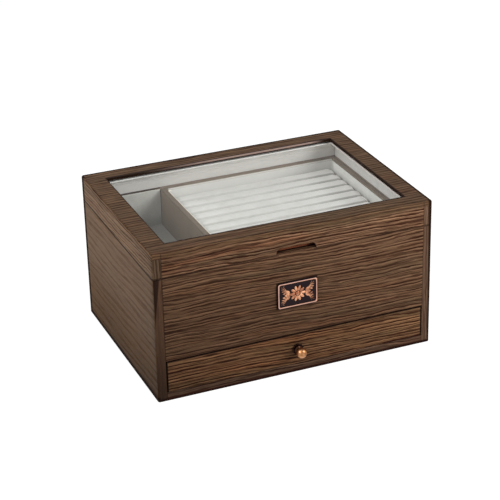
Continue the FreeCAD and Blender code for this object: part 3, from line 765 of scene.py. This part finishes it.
# %% Assign the finishes
DRESSED = {name: [name] for name in VENEERED}
DRESSED.update({
    "board": ["drawer_left_side", "drawer_right_side", "drawer_back", "drawer_bottom"],
    "copper": ["plaque"],
    "brass": ["drawer_knob"],
    "bronze": ["knob_rosette"],
    "hinge": [kind + side for side in ("left", "right")
              for kind in ("case_hinge_leaf_", "lid_hinge_leaf_", "hinge_pin_")],
    "glass": ["glass_pane"],
})


def dress(thing, finish):
    thing.data.materials.clear()
    thing.data.materials.append(finishes[finish])


for finish, names in DRESSED.items():
    for name in names:
        dress(nodes[name], finish)
print(sum(len(names) for names in DRESSED.values()), "CAD pieces keep their shape")

# %% [markdown]
# ## Cloth over board
# The linings and trays are card and thin board with cloth glued round them. Their shape is the
# CAD's, but cloth never keeps a knife edge or a dead flat face. So each is copied, its sharp
# edges are rolled over, its faces are cut into small tiles and every point sinks by up to a
# seventh of a millimetre. Nothing grows, so neighbours stay clear.

# %% Make a piece
SMOOTH_ANGLE = radians(42)


def settle(piece, finish, body):
    """Shades a finished mesh softly, dresses it and lets it ride."""
    piece.data.polygons.foreach_set("use_smooth", [True] * len(piece.data.polygons))
    piece.data.set_sharp_from_angle(angle=SMOOTH_ANGLE)
    dress(piece, finish)
    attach(piece, body)
    return piece


def mesh_from(form, name):
    """Ends a bmesh."""
    mesh = bpy.data.meshes.new(name)
    form.to_mesh(mesh)
    form.free()
    return mesh


# %% Cover a board
TILE = 7 * MM
SINK = 0.14 * MM
SINK_WAVES = 70
SHARP = radians(30)
FLAT = radians(1)


def bare_form(node):
    """A CAD node's form with its triangles joined to whole faces."""
    form = bmesh.new()
    form.from_mesh(nodes[node].data)
    bmesh.ops.remove_doubles(form, verts=form.verts, dist=MERGE)
    bmesh.ops.dissolve_limit(form, angle_limit=FLAT, verts=form.verts, edges=form.edges)
    return form


def tile_faces(form, tile):
    """Cuts a form with level planes across all three axes, tile apart."""
    corners = [[v.co[axis] for v in form.verts] for axis in range(3)]
    for axis in range(3):
        low, high = min(corners[axis]), max(corners[axis])
        count = int((high - low) / tile)
        for step in range(1, count):
            at, along = Vector(), Vector()
            at[axis] = low + (high - low) * step / count
            along[axis] = 1
            parts = form.verts[:] + form.edges[:] + form.faces[:]
            bmesh.ops.bisect_plane(form, geom=parts, plane_co=at, plane_no=along)


def cover(node, finish, roll_over):
    """A board with cloth pulled over it, in place of its CAD node."""
    form = bare_form(node)
    sharp = [edge for edge in form.edges if edge.is_manifold and edge.calc_face_angle() > SHARP]
    bmesh.ops.bevel(form, geom=sharp, offset=roll_over, segments=3, profile=0.5, affect="EDGES")
    tile_faces(form, TILE)
    form.normal_update()
    for v in form.verts:
        v.co -= v.normal * SINK * (0.5 + 0.5 * noise.noise(v.co * SINK_WAVES))
    name = "covered_" + node
    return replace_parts(settle(show(name, mesh_from(form, name)), finish, body_of[node]), node)


SIDES = ("front", "back", "left", "right")
COVERED = {
    ("tray", "flannel", 0.28 * MM): ["side_tray"],
    ("flannel", "flannel", 0.28 * MM): ["shelf_lining", *("lower_lining_" + side for side in SIDES),
                                        *("lid_lining_" + side for side in SIDES),
                                        "glass_retainer", "drawer_lining"],
    ("roll", "ring_pad", 0.5 * MM): ["ring_pad_base"],
    ("taupe", "taupe_cloth", 0.6 * MM): ["ring_tray"],
}
for (finish, slot, roll_over), names in COVERED.items():
    for name in names:
        made = cover(name, finish, roll_over)
        print(made.name, len(made.data.polygons), "faces")

# %% [markdown]
# ## Geometry Nodes from a script
# What repeats or follows a path is made by a node tree with named inputs. A small function
# makes the tree, sets the inputs by their identifiers, lets it run once and keeps the result
# as a plain mesh, so nothing live is left behind.


# %% Run a tree once
class Recipe(Bench):
    """A Geometry Nodes tree with named inputs."""

    def __init__(self, name, inputs):
        tree = bpy.data.node_groups.new(name, "GeometryNodeTree")
        super().__init__(tree)
        self.amounts = {}
        for label, value in inputs.items():
            kind = "NodeSocketInt" if isinstance(value, int) else "NodeSocketFloat"
            socket = tree.interface.new_socket(label, in_out="INPUT", socket_type=kind)
            self.amounts[socket.identifier] = value
        tree.interface.new_socket("Geometry", in_out="OUTPUT", socket_type="NodeSocketGeometry")
        self.source = tree.nodes.new("NodeGroupInput")

    def __getitem__(self, label):
        """The wire of a named input."""
        return Wire(self, self.source.outputs[label])

    def make(self, kind, values=None, output=0, **settings):
        """One of the geometry nodes."""
        return self.add("GeometryNode" + kind, values, output, **settings)

    def gather(self, *parts):
        """Several shapes as one."""
        joined = self.make("JoinGeometry")
        for part in parts:
            self.tree.links.new(part.socket, joined.socket.node.inputs[0])
        return joined

    def bake(self, name, shape, finish):
        """Ends the tree, runs it on an empty object and returns its plain mesh."""
        real = self.make("RealizeInstances", [shape])
        dressed = self.make("SetMaterial", {"Geometry": real, "Material": finishes[finish]})
        self.add("NodeGroupOutput", [dressed])
        carrier = show(name + "_carrier", bpy.data.meshes.new(name + "_carrier"))
        modifier = carrier.modifiers.new("recipe", "NODES")
        modifier.node_group = self.tree
        for identifier, value in self.amounts.items():
            modifier[identifier] = value
        apply_modifiers(carrier)
        mesh = carrier.data
        mesh.name = name
        bpy.data.objects.remove(carrier)
        return mesh


def apply_modifiers(piece):
    """Replaces a piece's mesh by what its modifiers make of it."""
    seen = piece.evaluated_get(bpy.context.evaluated_depsgraph_get())
    mesh = bpy.data.meshes.new_from_object(seen)
    piece.modifiers.clear()
    piece.data = mesh


def merge_mesh(mesh):
    """Merges doubles and turns every face outwards."""
    form = bmesh.new()
    form.from_mesh(mesh)
    bmesh.ops.remove_doubles(form, verts=form.verts, dist=MERGE)
    bmesh.ops.recalc_face_normals(form, faces=form.faces)
    form.to_mesh(mesh)
    form.free()
    return mesh


# %% [markdown]
# ## The ring tray's lining
# A strip of lined card stands inside the tray's walls, and the flannel is turned over its top
# edge, which makes a soft bright lip all the way round. It is one section carried round a
# rectangle, so it is a sweep along a path.

# %% Sweep the lining round the well
LINING_LOW, LINING_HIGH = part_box("ring_tray_lining")
LINING_WALL = 0.8 * MM


def lining_mesh(name):
    size = LINING_HIGH - LINING_LOW
    recipe = Recipe("lining_strip", {"Length": size.x - LINING_WALL, "Width": size.y - LINING_WALL,
                                     "Corner": 1.0 * MM, "Thickness": LINING_WALL, "Height": size.z})

    def rounded(width, height, count, radius):
        frame_line = recipe.make("CurvePrimitiveQuadrilateral", {"Width": width, "Height": height})
        return recipe.make("FilletCurve", {"Curve": frame_line, "Count": count, "Radius": radius,
                                           "Limit Radius": True}, mode="POLY")
    route = rounded(recipe["Length"], recipe["Width"], 4, recipe["Corner"])
    section = rounded(recipe["Thickness"], recipe["Height"], 5, recipe["Thickness"] * 0.48)
    strip = recipe.make("CurveToMesh", {"Curve": route, "Profile Curve": section})
    return merge_mesh(recipe.bake(name, strip, "well"))


lining = show("ring_well_lining", lining_mesh("ring_well_lining"))
lining.data.transform(Matrix.Translation((LINING_LOW + LINING_HIGH) / 2))
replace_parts(settle(lining, "well", "case"), "ring_tray_lining")
print("lining spans", [round(s / MM, 1) for s in lining.dimensions], "mm")

# %% [markdown]
# ## The ring rolls
# Eleven foam strips lie side by side, each wrapped in flannel, and a ring's band is pushed
# down between two of them. Cloth round foam is fullest between its fixings and draws in at its
# ends, which is what a cloth simulation with a little air pressure gives. One strip is formed
# smaller than its space, copied to the eleven places, given its own slight unevenness and
# blown up; how far a point may travel is capped, and the sides stay inside their own space.

# %% Form one strip
ROLL_NAMES = sorted(name for name in nodes if name.startswith("ring_roll_"))
ROLL_INSET = 0.45 * MM
ROLL_VOXEL = 1.9 * MM
ROLL_END = 5.5 * MM
END_LOSS = 0.34
FOOT_CORNER, CROWN_CORNER = 0.07, 0.34


def foam_strip(length, width, height):
    """A strip with a half-round crown, thinner towards its two ends."""
    recipe = Recipe("foam_strip", {"Length": length, "Width": width, "Height": height, "End": ROLL_END,
                                   "Stations": 90})
    half = recipe["Length"] * 0.5
    start, end = [recipe.join(at, 0.0, 0.0) for at in (half * -1, half)]
    route = recipe.make("CurvePrimitiveLine", {"Start": start, "End": end})
    route = recipe.make("ResampleCurve", {"Curve": route, "Count": recipe["Stations"]})
    x, _, _ = recipe.split(recipe.make("InputPosition"))
    to_end = ((half - x.size()) / recipe["End"]).maths("MINIMUM", 1.0)
    girth = 1 - (1 - to_end) ** 3.0 * END_LOSS
    route = recipe.make("SetCurveRadius", {"Curve": route, "Radius": girth})
    section = recipe.make("CurvePrimitiveQuadrilateral",
                          {"Width": recipe["Width"], "Height": recipe["Height"]})
    _, up, _ = recipe.split(recipe.make("InputPosition"))
    corner = recipe["Width"] * (up.above(0.0) * (CROWN_CORNER - FOOT_CORNER) + FOOT_CORNER)
    section = recipe.make("FilletCurve", {"Curve": section, "Count": 9, "Radius": corner,
                                          "Limit Radius": True}, mode="POLY")
    strip = recipe.make("CurveToMesh", {"Curve": route, "Profile Curve": section, "Fill Caps": True,
                                        "Scale": girth})
    return recipe.bake("foam_strip", strip, "roll")


roll_low, roll_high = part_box(ROLL_NAMES[0])
strip_mesh = foam_strip(*(side - 2 * ROLL_INSET for side in roll_high - roll_low))
print("strip", [round(side / MM, 1) for side in roll_high - roll_low], "mm,", len(strip_mesh.polygons),
      "faces before the remesh")

# %% [markdown]
# Cloth is simulated twenty times larger than it is, because the solver is tuned for garments
# and loses its footing on millimetres. The strip's underside is pinned, as the glue holds it.

# %% Lay the strips in a row
RIPPLE = 0.16 * MM
RIPPLE_WAVES = 55


def voxel_form(mesh):
    """A strip's mesh as even squares, centred on the origin."""
    piece = show("strip_form", mesh)
    remesh = piece.modifiers.new("even", "REMESH")
    remesh.mode = "VOXEL"
    remesh.voxel_size = ROLL_VOXEL
    apply_modifiers(piece)
    form = piece.data
    bpy.data.objects.remove(piece)
    return form


def row_of_strips(form):
    """All the strips in one mesh: each in its place, each a little uneven."""
    points, faces = [], []
    for index, name in enumerate(ROLL_NAMES):
        low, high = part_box(name)
        middle = (low + high) / 2
        first = len(points)
        for v in form.vertices:
            ripple = noise.noise(v.co * RIPPLE_WAVES + Vector((0, 7.3 * index, 0))) * RIPPLE
            points.append(v.co + v.normal * ripple + middle)
        faces += [[first + corner for corner in face.vertices] for face in form.polygons]
    mesh = bpy.data.meshes.new("row_of_strips")
    mesh.from_pydata(points, [], faces)
    return mesh


roll_form = voxel_form(strip_mesh)
row = row_of_strips(roll_form)
starts = [v.co.copy() for v in row.vertices]
print(len(starts), "points in", len(ROLL_NAMES), "strips")

# %% Blow the strips up
SIM_SCALE = 20.0
SIM_FRAMES = 20
AIR_PRESSURE = 4.0
TRAVEL_CAP = 0.5 * MM
PINNED_HEIGHT = 4 * MM
SIDE_ROOM = 0.12 * MM


def blow_up(mesh):
    """Inflates every strip with its underside pinned, and returns the points where they end."""
    mesh.transform(Matrix.Scale(SIM_SCALE, 4))
    piece = show("inflating", mesh)
    floor = min(v.co.z for v in mesh.vertices) + PINNED_HEIGHT * SIM_SCALE
    pinned = piece.vertex_groups.new(name="pinned")
    pinned.add([v.index for v in mesh.vertices if v.co.z < floor], 1.0, "REPLACE")
    cloth = piece.modifiers.new("air", "CLOTH")
    cloth.settings.quality = 5
    cloth.settings.use_pressure = True
    cloth.settings.uniform_pressure_force = AIR_PRESSURE
    cloth.settings.vertex_group_mass = pinned.name
    cloth.settings.effector_weights.gravity = 0.0
    cloth.point_cache.frame_start = 1
    cloth.point_cache.frame_end = SIM_FRAMES
    for frame_number in range(1, SIM_FRAMES + 1):
        bpy.context.scene.frame_set(frame_number)
    apply_modifiers(piece)
    ended = [v.co / SIM_SCALE for v in piece.data.vertices]
    bpy.data.objects.remove(piece)
    bpy.context.scene.frame_set(1)
    return ended


def held_back(start, end, low, high):
    """end, no further than the cap from start and inside the strip's own space."""
    travel = end - start
    if travel.length > TRAVEL_CAP:
        travel *= TRAVEL_CAP / travel.length
    room = Vector((0.0, SIDE_ROOM, 0.0))
    limits = zip(start + travel, low - room, high + room)
    return Vector([min(max(place, least), most) for place, least, most in limits])


ends = blow_up(row)
furthest = max((end - start).length for start, end in zip(starts, ends))
print("furthest travel", round(furthest / MM, 2), "mm before the cap")

# %% Part the row into rolls
count = len(roll_form.vertices)
roll_faces = [list(face.vertices) for face in roll_form.polygons]
for index, name in enumerate(ROLL_NAMES):
    low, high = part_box(name)
    span = range(index * count, (index + 1) * count)
    mesh = bpy.data.meshes.new("padded_" + name)
    mesh.from_pydata([held_back(starts[k], ends[k], low, high) for k in span], [], roll_faces)
    roll = show("padded_" + name, mesh)
    smooth = roll.modifiers.new("smooth", "SUBSURF")
    smooth.levels = smooth.render_levels = 1
    apply_modifiers(roll)
    settle(roll, "roll", "case")
    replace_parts(roll, name)
print(len(ROLL_NAMES), "rolls of", len(roll.data.polygons), "faces")

# %% [markdown]
# ## The plaque's ornament
# The little plate on the front carries a cast ornament: a rosette of petals with a leafy sprig
# towards each corner. Petals round a centre and leaves along a stem are repeats, so two node
# trees make them lying flat, and the result is stood up on the plate.

# %% Petals round a centre
CREST = 0.62 * MM


def blade(recipe, length, width, rise):
    """A petal or leaf: a flattened ball whose foot is at the origin and which points along X."""
    ball = recipe.make("MeshUVSphere", {"Segments": 12, "Rings": 8, "Radius": 1.0})
    ball = recipe.make("Transform", {"Geometry": ball, "Translation": (1.0, 0.0, 0.0)})
    size = recipe.join(length * 0.5, width * 0.5, rise)
    return recipe.make("Transform", {"Geometry": ball, "Scale": size})


def rosette_mesh():
    recipe = Recipe("rosette", {"Petals": 10, "Eye": 1.6 * MM, "Length": 5.6 * MM, "Width": 2.7 * MM,
                                "Rise": CREST})
    petal = blade(recipe, recipe["Length"], recipe["Width"], recipe["Rise"])
    ring = recipe.make("MeshCircle", {"Vertices": recipe["Petals"], "Radius": recipe["Eye"]})
    turn = recipe.join(0.0, 0.0, recipe.make("InputIndex") * (2 * pi) / recipe["Petals"])
    petals = recipe.make("InstanceOnPoints", {"Points": ring, "Instance": petal, "Rotation": turn})
    eye = recipe.make("MeshUVSphere", {"Segments": 16, "Rings": 8, "Radius": recipe["Eye"]})
    eye = recipe.make("Transform", {"Geometry": eye, "Scale": (1.15, 1.15, 0.58)})
    return recipe.bake("rosette", recipe.gather(petals, eye), "copper")


# %% Leaves along a stem
STEM = {"Start": (6.6 * MM, 1.0 * MM, 0.0), "Middle": (11.4 * MM, 1.0 * MM, 0.0),
        "End": (12.8 * MM, 7.0 * MM, 0.0)}


def sprig_mesh():
    recipe = Recipe("sprig", {"Leaves": 6, "Leaf": 4.0 * MM, "Leaf Width": 2.1 * MM, "Rise": CREST * 0.85,
                              "Splay": 0.85, "Stem": 0.4 * MM})
    stem = recipe.make("CurveQuadraticBezier", {"Resolution": 24, **STEM})
    leaf = blade(recipe, recipe["Leaf"], recipe["Leaf Width"], recipe["Rise"])
    knots = recipe.make("CurveToPoints", {"Curve": stem, "Count": recipe["Leaves"]}, mode="COUNT")
    aim = recipe.add("FunctionNodeAlignRotationToVector", {"Vector": knots.out("Tangent")},
                     axis="X", pivot_axis="Z")
    dwindle = recipe.make("InputIndex") * -0.09 + 1.0
    parts = []
    for side in (-1, 1):
        leaves = recipe.make("InstanceOnPoints", {"Points": knots, "Instance": leaf, "Rotation": aim,
                                                  "Scale": dwindle})
        turn = recipe.join(0.0, 0.0, recipe["Splay"] * side)
        parts.append(recipe.make("RotateInstances", {"Instances": leaves, "Rotation": turn}))
    section = recipe.make("CurvePrimitiveCircle", {"Resolution": 8, "Radius": recipe["Stem"]})
    stalk = recipe.make("CurveToMesh", {"Curve": stem, "Profile Curve": section, "Fill Caps": True})
    return recipe.bake("sprig", recipe.gather(*parts, stalk), "copper")


# %% Stand the ornament on the plate
ROOTED = 0.06 * MM


def ornament(name):
    """The rosette with four sprigs, upright on the plaque's ground."""
    form = bmesh.new()
    form.from_mesh(rosette_mesh())
    sprig = sprig_mesh()
    for flip_x in (-1, 1):
        for flip_y in (-1, 1):
            copy = sprig.copy()
            copy.transform(Matrix.Diagonal((flip_x, flip_y, 1, 1)))
            form.from_mesh(copy)
    bmesh.ops.remove_doubles(form, verts=form.verts, dist=MERGE)
    bmesh.ops.recalc_face_normals(form, faces=form.faces)
    for v in form.verts:
        v.co.z = max(v.co.z, -ROOTED)
    middle = (PLAQUE_LOW + PLAQUE_HIGH) / 2
    ground = Matrix.Translation((middle.x, PLAQUE_GROUND, middle.z))
    form.transform(ground @ Matrix.Rotation(pi / 2, 4, "X"))
    return settle(show(name, mesh_from(form, name)), "copper", "case")


relief = ornament("plaque_ornament")
print("ornament", [round(s / MM, 1) for s in relief.dimensions], "mm")

# %% [markdown]
# ## Screws with a cross recess
# The hinge leaves are held by countersunk screws. The CAD leaves their heads plain, so a screw
# with a cross recess is built once and a node tree sets four in the case and four in the lid.

# %% Make one screw
HEAD_RADIUS = 1.7 * MM
HEAD_DEPTH = 1.0 * MM
SHANK_RADIUS = 0.9 * MM
RECESS_REACH = 1.0 * MM
RECESS_WIDTH = 0.42 * MM
RECESS_DEPTH = 0.6 * MM
ROUND_STEPS = 28
SCREW_TURN = 0.7


def ring_of_points(form, radius, z):
    turns = [2 * pi * k / ROUND_STEPS for k in range(ROUND_STEPS)]
    return [form.verts.new((radius * cos(turn), radius * sin(turn), z)) for turn in turns]


def closed_edges(form, loop):
    pairs = zip(loop, loop[1:] + loop[:1])
    return [form.edges.get(pair) or form.edges.new(pair) for pair in pairs]


def wall_between(form, upper, lower):
    for k in range(len(upper)):
        after = (k + 1) % len(upper)
        form.faces.new((upper[k], upper[after], lower[after], lower[k]))


def screw_mesh(name, head, cone, shank, length, crown):
    """A screw whose head is at z = 0 and faces up. crown is how far the head's middle stands up."""
    form = bmesh.new()
    rim = ring_of_points(form, head, 0.0)
    brow = ring_of_points(form, head * 0.8, crown * 0.75)
    neck = ring_of_points(form, shank, -cone)
    tip = ring_of_points(form, shank, -length)
    for upper, lower in ((brow, rim), (rim, neck), (neck, tip)):
        wall_between(form, upper, lower)
    form.faces.new(list(reversed(tip)))
    half, reach = RECESS_WIDTH / 2, RECESS_REACH * head / HEAD_RADIUS
    arm = [(reach, -half), (reach, half), (half, half)]
    outline = []
    for quarter in range(4):
        c, s = round(cos(quarter * pi / 2)), round(sin(quarter * pi / 2))
        outline += [(x * c - y * s, x * s + y * c) for x, y in arm]
    cross = [form.verts.new((x, y, crown)) for x, y in outline]
    depth = [form.verts.new((x * 0.75, y * 0.75, crown - RECESS_DEPTH)) for x, y in outline]
    edges = closed_edges(form, cross) + closed_edges(form, brow)
    bmesh.ops.triangle_fill(form, edges=edges, use_beauty=True)
    wall_between(form, cross, depth)
    form.faces.new(depth)
    bmesh.ops.recalc_face_normals(form, faces=form.faces)
    return mesh_from(form, name)


# %% Set the screws in the leaves
leaf_low, leaf_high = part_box("case_hinge_leaf_right")
HINGE_MIDDLE = (leaf_low.x + leaf_high.x) / 2


def screw_row(pattern, node, flip):
    """Four copies of a pattern object: two hinges, two screws in each."""
    low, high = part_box(node)
    recipe = Recipe("screw_row", {"Hinge Spacing": 2 * HINGE_MIDDLE,
                                  "Screw Spacing": 2 * (high.x - HEAD_RADIUS - HINGE_MIDDLE),
                                  "Y": (low.y + high.y) / 2, "Level": low.z if flip else high.z,
                                  "Flip": pi if flip else 0.0})
    rows = []
    for label in ("Hinge Spacing", "Screw Spacing"):
        start, end = [recipe.join(recipe[label] * part, 0.0, 0.0) for part in (-0.5, 0.5)]
        rows.append(recipe.make("MeshLine", {"Count": 2, "Start Location": start, "Offset": end},
                                mode="END_POINTS"))
    pairs = recipe.make("InstanceOnPoints", {"Points": rows[0], "Instance": rows[1]})
    pairs = recipe.make("RealizeInstances", [pairs])
    screw = recipe.make("ObjectInfo", {"Object": pattern}).out("Geometry")
    turn = recipe.join(recipe["Flip"], 0.0, recipe.make("InputIndex") * SCREW_TURN)
    set_in = recipe.make("InstanceOnPoints", {"Points": pairs, "Instance": screw, "Rotation": turn})
    place = recipe.join(0.0, recipe["Y"], recipe["Level"])
    set_in = recipe.make("Transform", {"Geometry": set_in, "Translation": place})
    return merge_mesh(recipe.bake(node, set_in, "hinge"))


for body, flip in (("case", False), ("lid", True)):
    node = body + "_hinge_screws"
    low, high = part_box(node)
    screw = screw_mesh("screw", HEAD_RADIUS, HEAD_DEPTH, SHANK_RADIUS, high.z - low.z, 0.0)
    pattern = show("screw_pattern", screw)
    piece = show("cross_head_" + node, screw_row(pattern, node, flip))
    bpy.data.objects.remove(pattern)
    settle(piece, "hinge", body)
    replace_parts(piece, node)
    print(piece.name, "at z", round(piece.bound_box[1][2] / MM, 1), "mm")

# %% [markdown]
# The knob is held by one pan-head screw from inside the drawer, the same pattern laid over.

# %% The knob's screw
PAN_SHANK = 1.5 * MM
screw_low, screw_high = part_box("knob_screw")
back_of_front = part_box("drawer_front")[1].y
pan_height = screw_high.y - back_of_front
knob_screw = screw_mesh("knob_screw", (screw_high.x - screw_low.x) / 2, 0.0, PAN_SHANK,
                        back_of_front - screw_low.y, pan_height)
knob_screw.transform(Matrix.Translation((0, back_of_front, (screw_low.z + screw_high.z) / 2))
                     @ Matrix.Rotation(-pi / 2, 4, "X"))
pan_head = settle(show("pan_head_screw", knob_screw), "steel", "drawer")
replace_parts(pan_head, "knob_screw")
print("pan head", round(pan_height / MM, 2), "mm high")

# %% [markdown]
# ## The stage
# The floor is plain and pale. The camera, mirrors and glass see it and the room as white, and
# a share of ordinary matt white under that keeps the box's soft shadow. Nothing of this adds
# light to the box: the white is only for those rays.

# %% Floor and room
FLOOR_REACH = 3.0
SHADOW_SHARE = 0.36
ROOM_LIGHT = 0.38
WHITE = (1, 1, 1, 1)
MATT_WHITE = (0.6, 0.6, 0.6, 1)
GLOW = 1.4


def seen_white(bench):
    """1 for rays that look: from the camera, a mirror or through glass."""
    ray = bench.add("ShaderNodeLightPath", output="Is Camera Ray")
    return ray.larger(ray.out("Is Glossy Ray")).larger(ray.out("Is Transmission Ray"))


def floor_finish():
    bench = Finish("studio_floor")
    matt = bench.add("ShaderNodeBsdfDiffuse", {"Color": MATT_WHITE})
    glow = bench.add("ShaderNodeEmission", {"Color": WHITE, "Strength": GLOW})
    share = seen_white(bench) * (1 - SHADOW_SHARE)
    return bench.cover_with(bench.add("ShaderNodeMixShader", [share, matt, glow]))


def lay_floor():
    corners = [(x * FLOOR_REACH, y * FLOOR_REACH, 0) for x, y in ((-1, -1), (1, -1), (1, 1), (-1, 1))]
    mesh = bpy.data.meshes.new("floor")
    mesh.from_pydata(corners, [], [(0, 1, 2, 3)])
    mesh.materials.append(floor_finish())
    show("floor", mesh)


def light_room():
    world = bpy.data.worlds.new("studio")
    world.use_nodes = True
    bpy.context.scene.world = world
    bench = Bench(world.node_tree)
    soft = bench.add("ShaderNodeBackground", {"Color": (1, 0.985, 0.965, 1), "Strength": ROOM_LIGHT})
    white = bench.add("ShaderNodeBackground", {"Color": WHITE, "Strength": 1.0})
    room = bench.add("ShaderNodeMixShader", [seen_white(bench), soft, white])
    bench.add("ShaderNodeOutputWorld", {"Surface": room})


lay_floor()
light_room()
print("floor", 2 * FLOOR_REACH, "m wide")

# %% [markdown]
# ## The lamps
# One soft lamp stands to the right of the front, so the divider's shadow falls across the side
# tray. A nearer one on the left opens up the box's left end, and a wide weak one high behind
# the box lights the lid and the rolls without a shadow of its own.

# %% Hang the lamps
BOX_MIDDLE = Vector((0.0, 0.0, 0.07))
LAMPS = {
    "key": {"azimuth": 42, "elevation": 31, "distance": 1.5, "size": 0.8, "level": 0.7},
    "left_fill": {"azimuth": -68, "elevation": 38, "distance": 0.8, "size": 0.5, "level": 0.48},
    "back_fill": {"azimuth": 172, "elevation": 56, "distance": 1.5, "size": 1.0, "level": 0.16},
}


def hang_lamp(name, azimuth, elevation, distance, size, level):
    """level is what a white card facing the lamp would show at the box, from 0 to 1."""
    out = toward(radians(azimuth), radians(elevation))
    lamp = bpy.data.lights.new(name, "AREA")
    lamp.shape = "DISK"
    lamp.size = size
    lamp.energy = level * pi * pi * distance ** 2
    turn = out.to_track_quat("Z", "Y").to_matrix().to_4x4()
    show(name, lamp).matrix_world = Matrix.Translation(BOX_MIDDLE + out * distance) @ turn


for name, lamp in LAMPS.items():
    hang_lamp(name, **lamp)
bpy.context.scene.view_settings.view_transform = "Standard"
print(len(LAMPS), "lamps")
